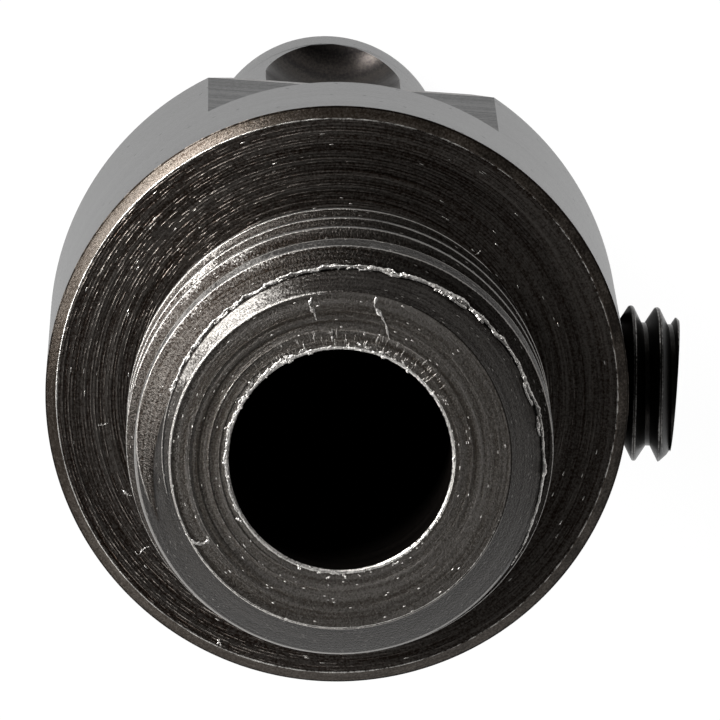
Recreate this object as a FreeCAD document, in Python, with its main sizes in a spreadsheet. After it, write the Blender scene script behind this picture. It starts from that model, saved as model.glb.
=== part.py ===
"""Hole saw adapter: a turned steel adapter body with its grub screw.

The axis is Z. The shank's end face is at Z = 0 and the threaded nose is at the top.
The wrench flats and the ball grooves face +Y and -Y, and the grub screw and the
drive slots lie along X. Lengths are in millimetres.
"""
import FreeCAD, Part
import math
import os
from FreeCAD import Placement, Rotation, Vector

import Sketcher

DRIVING_SIZES = {
    # Threaded nose, a 5/8 inch thread with 11 turns to the inch
    "nose_length": 14.5,
    "crest_diameter": 15.78,
    "entry_step": 0.31,
    "entry_chamfer_depth": 1.3,
    "entry_chamfer_length": 1.8,
    "entry_length": 0.8,
    "entry_taper_length": 0.7,
    "thread_pitch": 2.309,
    "thread_angle": 60,
    "thread_start": 3.0,
    "relief_below_root": 0.07,
    "relief_length": 4.6,
    # Round body with two wrench flats
    "body_diameter": 22,
    "body_length": 16.5,
    "body_chamfer": 0.42,
    "band_length": 6.8,
    "flat_depth": 1.5,
    # Grooved shank of a hammer drill
    "shank_diameter": 10,
    "shank_length": 48,
    "shank_chamfer": 1.2,
    "neck_fillet": 0.6,
    "ball_groove_radius": 4,
    "ball_groove_floor": 3,
    "ball_groove_from_tip": 3,
    "ball_groove_length": 27,
    "drive_slot_width": 3,
    "drive_slot_floor": 3,
    "drive_slot_length": 29,
    # Bore for the pilot drill
    "bore_diameter": 8.2,
    "bore_depth": 28,
    "bore_rim_chamfer": 0.1,
    "drill_point_angle": 118,
    # Grub screw and its hole
    "screw_from_shoulder": 8,
    "screw_diameter": 5.92,
    "screw_length": 8,
    "screw_stand_out": 2,
    "screw_clearance": 0.04,
    "screw_point_chamfer": 0.9,
    "screw_end_chamfer": 0.45,
    "socket_across_flats": 3,
    "socket_depth": 3.2,
}

DERIVED_SIZES = {
    "shoulder_height": "=shank_length + body_length",
    "total_length": "=shoulder_height + nose_length",
    # A 60 degree thread form, cut 0.6134 of its pitch deep
    "thread_depth": "=0.6134 * thread_pitch",
    "root_flat": "=thread_pitch / 6",
    "thread_overcut": "=0.04 * thread_pitch",
    "entry_diameter": "=crest_diameter - 2 * entry_step",
    "nose_end_diameter": "=entry_diameter - 2 * entry_chamfer_depth",
    "relief_diameter": "=crest_diameter - 2 * thread_depth - 2 * relief_below_root",
    "bore_floor": "=total_length - bore_depth",
    "bore_point_height": "=bore_diameter / 2 / tan(drill_point_angle / 2)",
    "flats_length": "=body_length - band_length",
    "across_flats": "=body_diameter - 2 * flat_depth",
    "screw_height": "=shoulder_height - screw_from_shoulder",
    "screw_tip": "=body_diameter / 2 + screw_stand_out - screw_length",
    "ball_groove_axis": "=ball_groove_floor + ball_groove_radius",
}


def make_sheet(doc):
    """The driving sizes as plain numbers, and the sizes that follow from them."""
    sheet = doc.addObject("Spreadsheet::Sheet", "Sizes")
    row = 1
    for name, value in {**DRIVING_SIZES, **DERIVED_SIZES}.items():
        sheet.set(f"A{row}", name)
        sheet.set(f"B{row}", str(value))
        sheet.setAlias(f"B{row}", name)
        row += 1
    doc.recompute()
    return sheet


def origin_part(body, role):
    """One of the body's own origin planes or axes."""
    return next(o for o in body.Origin.OriginFeatures if o.Role == role)


def new_sketch(body, name, plane):
    """An empty sketch on one of the body's origin planes."""
    sketch = body.newObject("Sketcher::SketchObject", name)
    sketch.AttachmentSupport = (origin_part(body, plane), [""])
    sketch.MapMode = "FlatFace"
    return sketch


class Outline:
    """A closed outline whose corners are dimensioned from the sketch's origin."""

    def __init__(self, sketch):
        self.sketch = sketch
        self.corners = []

    def corner(self, across, up):
        """Add a corner by its two distances, each a formula on the sheet."""
        self.corners.append((across, up))

    def close(self):
        """Draw the lines, join them and bind each corner to the sheet."""
        sketch = self.sketch
        sheet = sketch.Document.Sizes
        points = [Vector(evaluate(sheet, a), evaluate(sheet, u), 0) for a, u in self.corners]
        count = len(points)
        for i in range(count):
            sketch.addGeometry(Part.LineSegment(points[i], points[(i + 1) % count]), False)
        for i in range(count):
            sketch.addConstraint(Sketcher.Constraint("Coincident", i, 2, (i + 1) % count, 1))
        for i, (across, up) in enumerate(self.corners):
            pin_point(sketch, i, 1, across, up, points[i])


def evaluate(sheet, formula):
    """The value of a formula on the sheet, in millimetres."""
    value = sheet.evalExpression(formula)
    return float(getattr(value, "Value", value))


def pin_point(sketch, geometry, point, across, up, place):
    """Fix a point of a sketch at two distances bound to the sheet."""
    for kind, formula, value in (("DistanceX", across, place.x), ("DistanceY", up, place.y)):
        if formula == "0":
            on_axis = -2 if kind == "DistanceX" else -1
            sketch.addConstraint(Sketcher.Constraint("PointOnObject", geometry, point, on_axis))
            continue
        index = sketch.addConstraint(Sketcher.Constraint(kind, -1, 1, geometry, point, value))
        sketch.setExpression(f"Constraints[{index}]", formula)


def add_circle(sketch, across, up, diameter):
    """A circle whose centre and diameter are bound to the sheet."""
    sheet = sketch.Document.Sizes
    centre = Vector(evaluate(sheet, across), evaluate(sheet, up), 0)
    circle = Part.Circle(centre, Vector(0, 0, 1), evaluate(sheet, diameter) / 2)
    index = sketch.addGeometry(circle, False)
    pin_point(sketch, index, 3, across, up, centre)
    size = sketch.addConstraint(Sketcher.Constraint("Diameter", index, evaluate(sheet, diameter)))
    sketch.setExpression(f"Constraints[{size}]", diameter)


def cut_and_check(body, feature):
    """Recompute the body and check that the cut takes material away."""
    before = body.Shape.Volume
    body.Document.recompute()
    if not body.Shape.Volume < before - 1e-3:
        raise RuntimeError(f"{feature.Name} cuts nothing")


def turned_blank(body):
    """The whole turned outline: shank, body, thread relief and nose."""
    sketch = new_sketch(body, "BlankOutline", "XZ_Plane")
    outline = Outline(sketch)
    outline.corner("0", "0")
    outline.corner("Sizes.shank_diameter / 2 - Sizes.shank_chamfer", "0")
    outline.corner("Sizes.shank_diameter / 2", "Sizes.shank_chamfer")
    outline.corner("Sizes.shank_diameter / 2", "Sizes.shank_length")
    outline.corner("Sizes.body_diameter / 2 - Sizes.body_chamfer", "Sizes.shank_length")
    outline.corner("Sizes.body_diameter / 2", "Sizes.shank_length + Sizes.body_chamfer")
    outline.corner("Sizes.body_diameter / 2", "Sizes.shoulder_height - Sizes.body_chamfer")
    outline.corner("Sizes.body_diameter / 2 - Sizes.body_chamfer", "Sizes.shoulder_height")
    outline.corner("Sizes.relief_diameter / 2", "Sizes.shoulder_height")
    relief_top = "Sizes.shoulder_height + Sizes.relief_length"
    relief_flank = "(Sizes.crest_diameter - Sizes.relief_diameter) / 2"
    outline.corner("Sizes.relief_diameter / 2", f"{relief_top} - {relief_flank}")
    outline.corner("Sizes.crest_diameter / 2", relief_top)
    entry_top = "Sizes.total_length - Sizes.entry_chamfer_length"
    entry_foot = f"{entry_top} - Sizes.entry_length"
    outline.corner("Sizes.crest_diameter / 2", f"{entry_foot} - Sizes.entry_taper_length")
    outline.corner("Sizes.entry_diameter / 2", entry_foot)
    outline.corner("Sizes.entry_diameter / 2", entry_top)
    outline.corner("Sizes.nose_end_diameter / 2", "Sizes.total_length")
    outline.corner("0", "Sizes.total_length")
    outline.close()
    blank = body.newObject("PartDesign::Revolution", "Blank")
    blank.Profile = sketch
    blank.ReferenceAxis = (origin_part(body, "Z_Axis"), [""])
    blank.Angle = 360
    body.Document.recompute()


def neck_fillet(body):
    """The small radius where the shank runs into the body."""
    sheet = body.Document.Sizes
    blank = body.Tip
    edge = circle_edge(blank.Shape, sheet.shank_diameter / 2, sheet.shank_length)
    fillet = body.newObject("PartDesign::Fillet", "NeckFillet")
    fillet.Base = (blank, [edge])
    fillet.setExpression("Radius", "Sizes.neck_fillet")
    body.Document.recompute()


def circle_edge(shape, radius, height):
    """The name of the full circular edge with this radius at this height."""
    for i, edge in enumerate(shape.Edges, 1):
        curve = edge.Curve
        if not isinstance(curve, Part.Circle):
            continue
        if abs(curve.Radius - radius) < 1e-4 and abs(curve.Center.z - height) < 1e-4:
            return f"Edge{i}"
    raise RuntimeError(f"no circular edge of radius {radius} at height {height}")


def nose_thread(body):
    """The right-hand thread, cut from the relief up past the nose's end."""
    sketch = new_sketch(body, "ThreadForm", "XZ_Plane")
    root = "Sizes.crest_diameter / 2 - Sizes.thread_depth"
    outer = "Sizes.crest_diameter / 2 + Sizes.thread_overcut"
    middle = "Sizes.shoulder_height + Sizes.thread_start"
    half_flat = "Sizes.root_flat / 2"
    half_mouth = f"({half_flat} + (Sizes.thread_depth + Sizes.thread_overcut) * tan(Sizes.thread_angle / 2))"
    outline = Outline(sketch)
    outline.corner(root, f"{middle} - {half_flat}")
    outline.corner(outer, f"{middle} - {half_mouth}")
    outline.corner(outer, f"{middle} + {half_mouth}")
    outline.corner(root, f"{middle} + {half_flat}")
    outline.close()
    thread = body.newObject("PartDesign::SubtractiveHelix", "NoseThread")
    thread.Profile = sketch
    thread.ReferenceAxis = (origin_part(body, "Z_Axis"), [""])
    thread.Mode = 0
    thread.LeftHanded = False
    thread.setExpression("Pitch", "Sizes.thread_pitch")
    thread.setExpression("Height", "Sizes.nose_length - Sizes.thread_start + Sizes.thread_pitch / 2")
    cut_and_check(body, thread)


def pilot_bore(body):
    """The blind bore for the pilot drill, with a drilled point and a broken rim."""
    sketch = new_sketch(body, "BoreOutline", "XZ_Plane")
    outline = Outline(sketch)
    outline.corner("0", "Sizes.bore_floor - Sizes.bore_point_height")
    outline.corner("Sizes.bore_diameter / 2", "Sizes.bore_floor")
    outline.corner("Sizes.bore_diameter / 2", "Sizes.total_length - Sizes.bore_rim_chamfer")
    outline.corner("Sizes.bore_diameter / 2 + Sizes.bore_rim_chamfer", "Sizes.total_length")
    outline.corner("0", "Sizes.total_length")
    outline.close()
    bore = body.newObject("PartDesign::Groove", "PilotBore")
    bore.Profile = sketch
    bore.ReferenceAxis = (origin_part(body, "Z_Axis"), [""])
    bore.Angle = 360
    cut_and_check(body, bore)


def rectangle(sketch, left, right, low, high):
    """A rectangle whose sides are bound to the sheet."""
    outline = Outline(sketch)
    outline.corner(left, low)
    outline.corner(right, low)
    outline.corner(right, high)
    outline.corner(left, high)
    outline.close()


def repeat_opposite(body, feature, name):
    """Repeat a cut on the opposite side of the axis."""
    pattern = body.newObject("PartDesign::PolarPattern", name)
    pattern.Originals = [feature]
    pattern.Axis = (origin_part(body, "Z_Axis"), [""])
    pattern.Angle = 360
    pattern.Occurrences = 2
    body.Tip = pattern
    cut_and_check(body, pattern)


def wrench_flats(body):
    """Two flats behind the full round band, open to the rear of the body."""
    sketch = new_sketch(body, "FlatOutline", "XY_Plane")
    sketch.setExpression("AttachmentOffset.Base.z", "Sizes.shank_length")
    reach = "Sizes.body_diameter"
    rectangle(sketch, f"-{reach}", reach, "Sizes.across_flats / 2", reach)
    flat = body.newObject("PartDesign::Pocket", "WrenchFlat")
    flat.Profile = sketch
    flat.Reversed = True
    flat.setExpression("Length", "Sizes.flats_length")
    cut_and_check(body, flat)
    repeat_opposite(body, flat, "WrenchFlats")


def half_capsule(sketch, axis, radius, low, high):
    """Half of a round-ended slot's outline, on the near side of its upright axis."""
    sheet = sketch.Document.Sizes
    x, size = evaluate(sheet, axis), evaluate(sheet, radius)
    bottom, top = evaluate(sheet, low) + size, evaluate(sheet, high) - size
    turn = math.pi / 2
    normal = Vector(0, 0, 1)
    lower = Part.ArcOfCircle(Part.Circle(Vector(x, bottom, 0), normal, size), 2 * turn, 3 * turn)
    upper = Part.ArcOfCircle(Part.Circle(Vector(x, top, 0), normal, size), turn, 2 * turn)
    low_arc = sketch.addGeometry(lower, False)
    high_arc = sketch.addGeometry(upper, False)
    wall = sketch.addGeometry(Part.LineSegment(lower.StartPoint, upper.EndPoint), False)
    spine = sketch.addGeometry(Part.LineSegment(upper.StartPoint, lower.EndPoint), False)
    join = [(wall, 1, low_arc, 1), (wall, 2, high_arc, 2), (spine, 1, high_arc, 1), (spine, 2, low_arc, 2)]
    for first, first_end, second, second_end in join:
        sketch.addConstraint(Sketcher.Constraint("Coincident", first, first_end, second, second_end))
    for arc, side, tip in ((low_arc, 1, 2), (high_arc, 2, 1)):
        sketch.addConstraint(Sketcher.Constraint("Horizontal", arc, side, arc, 3))
        sketch.addConstraint(Sketcher.Constraint("Vertical", arc, tip, arc, 3))
        index = sketch.addConstraint(Sketcher.Constraint("Radius", arc, size))
        sketch.setExpression(f"Constraints[{index}]", radius)
    pin_point(sketch, low_arc, 3, axis, f"{low} + {radius}", Vector(x, bottom, 0))
    pin_point(sketch, high_arc, 3, axis, f"{high} - {radius}", Vector(x, top, 0))
    return f"Edge{spine + 1}"


def ball_grooves(body):
    """Two closed grooves for the chuck's locking balls, with rounded ends."""
    sketch = new_sketch(body, "BallGrooveOutline", "YZ_Plane")
    low = "Sizes.ball_groove_from_tip"
    high = f"{low} + Sizes.ball_groove_length"
    spine = half_capsule(sketch, "Sizes.ball_groove_axis", "Sizes.ball_groove_radius", low, high)
    groove = body.newObject("PartDesign::Groove", "BallGroove")
    groove.Profile = sketch
    groove.ReferenceAxis = (sketch, [spine])
    groove.Angle = 360
    cut_and_check(body, groove)
    repeat_opposite(body, groove, "BallGrooves")


def drive_slots(body):
    """Two square slots that run out of the shank's end."""
    sketch = new_sketch(body, "DriveSlotOutline", "XY_Plane")
    half = "Sizes.drive_slot_width / 2"
    rectangle(sketch, "Sizes.drive_slot_floor", "Sizes.shank_diameter", f"-{half}", half)
    slot = body.newObject("PartDesign::Pocket", "DriveSlot")
    slot.Profile = sketch
    slot.Reversed = True
    slot.setExpression("Length", "Sizes.drive_slot_length")
    cut_and_check(body, slot)
    repeat_opposite(body, slot, "DriveSlots")


def screw_hole(body):
    """The cross hole for the grub screw, from the bore out through one side."""
    sketch = new_sketch(body, "ScrewHoleOutline", "YZ_Plane")
    add_circle(sketch, "0", "Sizes.screw_height", "Sizes.screw_diameter + 2 * Sizes.screw_clearance")
    hole = body.newObject("PartDesign::Pocket", "ScrewHole")
    hole.Profile = sketch
    hole.Reversed = True
    hole.setExpression("Length", "Sizes.body_diameter")
    cut_and_check(body, hole)


def make_adapter_body(doc):
    """The one turned and milled piece."""
    body = doc.addObject("PartDesign::Body", "AdapterBody")
    body.Label = "adapter_body"
    turned_blank(body)
    neck_fillet(body)
    nose_thread(body)
    pilot_bore(body)
    wrench_flats(body)
    ball_grooves(body)
    drive_slots(body)
    screw_hole(body)
    return body


def hexagon(sketch, across_flats):
    """A regular hexagon about the sketch's origin with two corners on its level axis."""
    outline = Outline(sketch)
    for corner in range(6):
        angle = 60 * corner
        level = corner % 3 == 0
        up = "0" if level else f"{across_flats} / sqrt(3) * sin({angle}deg)"
        outline.corner(f"{across_flats} / sqrt(3) * cos({angle}deg)", up)
    outline.close()


def make_grub_screw(doc):
    """The grub screw, turned about Z from its point and laid along X in its hole."""
    body = doc.addObject("PartDesign::Body", "GrubScrew")
    body.Label = "grub_screw"
    sketch = new_sketch(body, "ScrewOutline", "XZ_Plane")
    radius = "Sizes.screw_diameter / 2"
    outline = Outline(sketch)
    outline.corner("0", "0")
    outline.corner(f"{radius} - Sizes.screw_point_chamfer", "0")
    outline.corner(radius, "Sizes.screw_point_chamfer")
    outline.corner(radius, "Sizes.screw_length - Sizes.screw_end_chamfer")
    outline.corner(f"{radius} - Sizes.screw_end_chamfer", "Sizes.screw_length")
    outline.corner("0", "Sizes.screw_length")
    outline.close()
    turned = body.newObject("PartDesign::Revolution", "ScrewBlank")
    turned.Profile = sketch
    turned.ReferenceAxis = (origin_part(body, "Z_Axis"), [""])
    turned.Angle = 360
    doc.recompute()
    sketch = new_sketch(body, "SocketOutline", "XY_Plane")
    sketch.setExpression("AttachmentOffset.Base.z", "Sizes.screw_length")
    hexagon(sketch, "Sizes.socket_across_flats")
    socket = body.newObject("PartDesign::Pocket", "Socket")
    socket.Profile = sketch
    socket.setExpression("Length", "Sizes.socket_depth")
    cut_and_check(body, socket)
    body.Placement = Placement(Vector(0, 0, 0), Rotation(Vector(0, 1, 0), 90))
    body.setExpression("Placement.Base.x", "Sizes.screw_tip")
    body.setExpression("Placement.Base.z", "Sizes.screw_height")
    return body


def check(doc, bodies):
    """Stop if any object failed or any sub-part has no valid shape."""
    for item in doc.Objects:
        if "Invalid" in item.State or "Error" in item.State:
            raise RuntimeError(f"{item.Name} failed: {item.State}")
    for body in bodies:
        if body.Shape.isNull() or not body.Shape.isValid():
            raise RuntimeError(f"{body.Label} has no valid shape")


def main():
    """Build the document, check it and write each sub-part."""
    doc = FreeCAD.newDocument("HoleSawAdapter")
    make_sheet(doc)
    bodies = [make_adapter_body(doc), make_grub_screw(doc)]
    doc.recompute()
    check(doc, bodies)
    os.makedirs("parts", exist_ok=True)
    for body in bodies:
        print(f"{body.Label}: {body.Shape.Volume:.1f} cubic mm, {len(body.Shape.Solids)} solid")
        body.Shape.exportStep(f"parts/{body.Label}.step")


main()
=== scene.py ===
"""Looks of the hole saw adapter: its surfaces, finishes, burrs, stage and camera.

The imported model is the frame. Z is the axis of the adapter, with the shank's end at zero and the
threaded nose at the top. Sizes in the classes are in millimetres, and meshes are made in metres.
"""

import logging
import math
from dataclasses import dataclass
from enum import Enum

import bmesh
import bpy
import numpy as np
from mathutils import Matrix, Vector

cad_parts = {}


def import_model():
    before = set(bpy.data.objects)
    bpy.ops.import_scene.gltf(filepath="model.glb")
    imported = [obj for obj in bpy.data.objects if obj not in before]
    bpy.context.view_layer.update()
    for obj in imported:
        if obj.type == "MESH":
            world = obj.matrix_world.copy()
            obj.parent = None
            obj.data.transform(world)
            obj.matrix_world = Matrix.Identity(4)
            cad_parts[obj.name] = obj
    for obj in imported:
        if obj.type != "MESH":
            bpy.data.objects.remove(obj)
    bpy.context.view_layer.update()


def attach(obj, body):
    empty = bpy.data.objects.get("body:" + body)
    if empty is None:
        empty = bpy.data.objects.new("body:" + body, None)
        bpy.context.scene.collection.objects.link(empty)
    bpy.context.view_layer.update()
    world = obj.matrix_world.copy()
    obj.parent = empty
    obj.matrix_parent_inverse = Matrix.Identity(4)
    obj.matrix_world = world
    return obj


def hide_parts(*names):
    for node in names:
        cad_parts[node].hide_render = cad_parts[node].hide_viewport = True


LOG = logging.getLogger("hole_saw_adapter")
MM = 0.001
TINY = 1e-6
BROAD_EDGE = math.radians(20)
THREAD_DEPTH = 0.6134
NOWHERE = -99.0
HALVINGS = 40
FULL_TURN = 2 * math.pi


class Zone(Enum):
    """The differently finished areas of the adapter, by material slot."""

    FACE = 0
    SIDE = 1
    NOSE = 2
    FLAT = 3
    GROOVE = 4
    BORE = 5
    END = 6
    RIM = 7


@dataclass
class Patch:
    """A grid of points in millimetres, its amount of wear and painted light from 0 to 1, below 0 where
    shade is painted, and its zone.
    """

    points: np.ndarray
    wear_and_light: np.ndarray
    zone: Zone
    flip: bool = False

    def quads(self, start: int) -> np.ndarray:
        """Corner numbers of the grid's quads.

        Args:
            start: number of the patch's first point in the whole surface.

        Returns:
            One row of four corner numbers for each quad. A quad turns from its row
            towards the next column and then towards the next row.
        """
        rows, columns = self.points.shape[:2]
        index = np.arange(rows * columns).reshape(rows, columns) + start
        around = [index[:-1, :-1], index[:-1, 1:], index[1:, 1:], index[1:, :-1]]
        if self.flip:
            around.reverse()
        return np.stack([numbers.ravel() for numbers in around], axis=1)


class Surface:
    """Patches that are joined into one closed mesh."""

    def __init__(self) -> None:
        """Start with no patches."""
        self.patches: list[Patch] = []

    def add(self, points: np.ndarray, zone: Zone, wear_and_light: float | np.ndarray = 0.0,
            flip: bool = False) -> None:
        """Add a grid of points.

        Args:
            points: rows by columns by three, in millimetres.
            zone: the finish of the area.
            wear_and_light: how far the finish is rubbed off, raised further where a highlight is painted
                and below 0 where shade is painted, for all points or for each.
            flip: turn the faces over.
        """
        amount = np.broadcast_to(np.asarray(wear_and_light, float), points.shape[:2])
        self.patches.append(Patch(points, amount, zone, flip))

    def build(self, name: str, materials: list[bpy.types.Material],
              gap: float = 0.0008) -> bpy.types.Object:
        """Make the mesh, weld its seams and mark its sharp edges.

        Args:
            name: name of the piece.
            materials: one material for each zone number in use.
            gap: how near points are that become one, in millimetres.

        Returns:
            The object, at the origin.
        """
        quads, zones, start = [], [], 0
        for patch in self.patches:
            grid = patch.quads(start)
            quads.append(grid)
            zones.append(np.full(len(grid), patch.zone.value))
            start += patch.wear_and_light.size
        points = np.concatenate([p.points.reshape(-1, 3) for p in self.patches]) * MM
        wear_and_light = np.concatenate([p.wear_and_light.ravel() for p in self.patches])
        mesh = bpy.data.meshes.new(name)
        mesh.from_pydata(points.tolist(), [], np.concatenate(quads).tolist())
        mesh.polygons.foreach_set("material_index", np.concatenate(zones).astype(np.int32))
        mesh.attributes.new("wear_and_light", "FLOAT", "POINT").data.foreach_set("value", wear_and_light.astype(np.float32))
        for material in materials:
            mesh.materials.append(material)
        open_edges = weld(mesh, gap * MM)
        LOG.info("%s: %d faces, %d open edges", name, len(mesh.polygons), open_edges)
        mesh.shade_smooth()
        mesh.set_sharp_from_angle(angle=BROAD_EDGE)
        piece = bpy.data.objects.new(name, mesh)
        bpy.context.scene.collection.objects.link(piece)
        return piece


def weld(mesh: bpy.types.Mesh, gap: float) -> int:
    """Merge the points that coincide and drop the faces that this flattens.

    Args:
        mesh: the mesh to weld in place.
        gap: how near points are that become one.

    Returns:
        How many edges have no face or only one, which is none on a closed piece.
    """
    work = bmesh.new()
    work.from_mesh(mesh)
    bmesh.ops.remove_doubles(work, verts=work.verts, dist=gap)
    bmesh.ops.dissolve_degenerate(work, edges=work.edges, dist=gap / 4)
    bmesh.ops.delete(work, geom=[edge for edge in work.edges if not edge.link_faces], context="EDGES")
    open_edges = sum(1 for edge in work.edges if len(edge.link_faces) != 2)
    work.to_mesh(mesh)
    work.free()
    return open_edges


def ring(radius: np.ndarray, angle: np.ndarray, height: np.ndarray) -> np.ndarray:
    """Points about the Z axis: (radius cos angle, radius sin angle, height)."""
    radius, angle, height = np.broadcast_arrays(radius, angle, height)
    return np.stack([radius * np.cos(angle), radius * np.sin(angle), height], axis=-1)


def bell(value: np.ndarray, middle: float, spread: float) -> np.ndarray:
    """1 at the middle, falling evenly to both sides: exp(-((value - middle) / spread) ** 2)."""
    return np.exp(-(((value - middle) / spread) ** 2))


def upright(count: int) -> np.ndarray:
    """The direction +Z, once for each of a number of points."""
    return np.tile([0.0, 0.0, 1.0], (count, 1))


# A row of a thread's surface: its places, its radii and its amount of wear and painted light.
Row = tuple[np.ndarray, np.ndarray, float | np.ndarray]


@dataclass(frozen=True)
class Groove:
    """One turn of a thread's groove, with a value for each column.

    Front and rear are the places of its two rims, and cut is how fully it is cut, from 0 to 1.
    """

    centre: np.ndarray
    front: np.ndarray
    rear: np.ndarray
    cut: np.ndarray


@dataclass(frozen=True)
class Thread:
    """A thread of trapezoid grooves cut into a turned envelope.

    Depths are measured as radii and places as distances from the threaded end. Near that end
    a groove's front rim follows a straight lead, and its floor rises until it runs out. The
    outline before cutting is a list of corners, each a place and a radius. Amounts of wear and
    painted light run from below 0, where shade is painted on groove floors and before the burr,
    over 0.2 on plain crests to 1 and more on bare edges and painted highlights.
    """

    pitch: float
    root_radius: float
    outline: tuple[tuple[float, float], ...]
    grooves: int
    edge: float = 0.02
    crest_worn: float = 0.2
    broken_worn: float = 0.7
    beside_worn: float = 0.1
    # Painted shade on the groove floors.
    floor_shade: float = -0.6
    corner_worn: float = 1.4
    worn_corners: tuple[float, ...] = ()
    rubbed_to: float = 0.03
    # A painted highlight on the cone before the first groove, with where and how widely it lies.
    start_highlight: float = 0.0
    start_highlight_at: float = 1.35
    start_highlight_over: float = 0.25
    # Width of the painted shadow in front of the burr on the first groove's rim.
    shaded: float = 0.0
    lead_slope: float = 1.0
    lead_offset: float = 0.0
    lead_until: float = NOWHERE
    fade: float = 0.3
    full_depth: float = 0.2
    run_out_from: float = NOWHERE
    run_out_rate: float = 2.1

    @property
    def half_flat(self) -> float:
        """Half the width of a groove's floor, a twelfth of the pitch."""
        return self.pitch / 12

    def envelope(self, place: np.ndarray) -> np.ndarray:
        """Radius before the thread is cut: straight lines between the outline's corners."""
        places, radii = zip(*self.outline)
        return np.interp(place, places, radii)

    def floor(self, centre: np.ndarray) -> np.ndarray:
        """Radius of a groove's floor, which rises where the groove runs out."""
        return self.root_radius + self.run_out_rate * np.maximum(self.run_out_from - centre, 0)

    def groove(self, place: np.ndarray, centre: np.ndarray) -> np.ndarray:
        """Radius of a groove: its floor, then flanks that rise at 60 degrees to the axis."""
        rise = np.maximum(np.abs(place - centre) - self.half_flat, 0) * math.sqrt(3)
        return self.floor(centre) + rise

    def led(self, centre: np.ndarray) -> np.ndarray:
        """How far a groove's front rim follows the lead, from 0 to 1."""
        return np.clip((self.lead_until - centre) / self.fade, 0, 1)

    def front(self, centre: np.ndarray, inside: np.ndarray) -> np.ndarray:
        """Place of the rim nearer the end: the flank's own, or slope * centre - offset on the lead.

        Args:
            centre: places of the groove's centre.
            inside: places that are within the groove, where there is one.

        Returns:
            The places of the rim.
        """
        own = self.rim(centre, inside, -1)
        lead = np.clip(self.lead_slope * centre - self.lead_offset, 0, centre - self.half_flat - 0.05)
        return np.where(self.depth(inside, centre) > 0, own + self.led(centre) * (lead - own), own)

    def front_rim(self, centre: np.ndarray) -> tuple[np.ndarray, np.ndarray]:
        """Places and radii of the rim nearer the threaded end, for grooves that are cut."""
        place = self.front(centre, centre + self.half_flat)
        return place, self.envelope(place)

    def depth(self, place: np.ndarray, centre: np.ndarray) -> np.ndarray:
        """How far the envelope stands above the groove, negative where nothing is cut."""
        return self.envelope(place) - self.groove(place, centre)

    def rim(self, centre: np.ndarray, inside: np.ndarray, side: float) -> np.ndarray:
        """Place where a flank meets the envelope, found by halving for all columns at once.

        Args:
            centre: places of the groove's centre.
            inside: places that are within the groove, where there is one.
            side: 1 for the rim away from the end and -1 for the one near it.

        Returns:
            The places of the rim, or inside where nothing is cut.
        """
        near, far = inside.copy(), centre + side * self.pitch * 0.75
        for _ in range(HALVINGS):
            middle = (near + far) / 2
            cut = self.depth(middle, centre) > 0
            near = np.where(cut, middle, near)
            far = np.where(cut, far, middle)
        return np.where(self.depth(inside, centre) > 0, near, inside)

    def groove_at(self, centre: np.ndarray, end: float) -> Groove:
        """The groove about a centre, which is fully cut once it is deep and wide enough.

        Args:
            centre: places of the groove's centre.
            end: place where the thread stops.

        Returns:
            The groove.
        """
        low, high = centre - self.half_flat, centre + self.half_flat
        inside = np.where(self.depth(low, centre) > self.depth(high, centre), low, high)
        beyond = np.where(centre < end / 2, 0.0, end)
        inside = np.where(self.depth(inside, centre) > 0, np.clip(inside, 0, end), beyond)
        front = np.clip(self.front(centre, inside), 0, end)
        rear = np.clip(self.rim(centre, inside, 1), 0, end)
        wide, deep = (rear - front) / self.fade, self.depth(inside, centre) / self.full_depth
        return Groove(centre, front, rear, np.clip(wide, 0, 1) * np.clip(deep, 0, 1))

    def rows(self, first: np.ndarray, end: float,
             rub: np.ndarray) -> tuple[np.ndarray, np.ndarray, np.ndarray]:
        """The thread's surface as rows of places and radii for each column.

        Args:
            first: place of the first groove's centre for each column.
            end: place where the rows stop.
            rub: how far the edge at the threaded end is rubbed, for each column.

        Returns:
            Places, radii and amounts of wear and painted light, each rows by columns, from the end
            inwards.
        """
        none, crest = np.zeros_like(first), self.crest_worn
        grooves = [self.groove_at(first + number * self.pitch, end) for number in range(self.grooves)]
        before, past = Groove(first, none, none, none), Groove(first, none + end, none + end, none)
        # Painted highlight on the cone before the first groove, strongest where its centre lies at
        # start_highlight_at.
        base = crest + self.start_highlight * bell(first, self.start_highlight_at, self.start_highlight_over)
        edge_worn = self.corner_worn * rub if 0.0 in self.worn_corners else crest
        made = [(none, self.envelope(none), edge_worn)]
        for after in grooves:
            made += self.crest_rows(before, after, end, base, rub)
            made += self.groove_rows(after, end)
            before, base = after, crest
        made += self.crest_rows(before, past, end, base, rub)
        made = [[np.broadcast_to(value, first.shape) for value in row] for row in made]
        places, radii, wear_and_light = np.array(made).swapaxes(0, 1)
        return places, radii, wear_and_light

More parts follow.
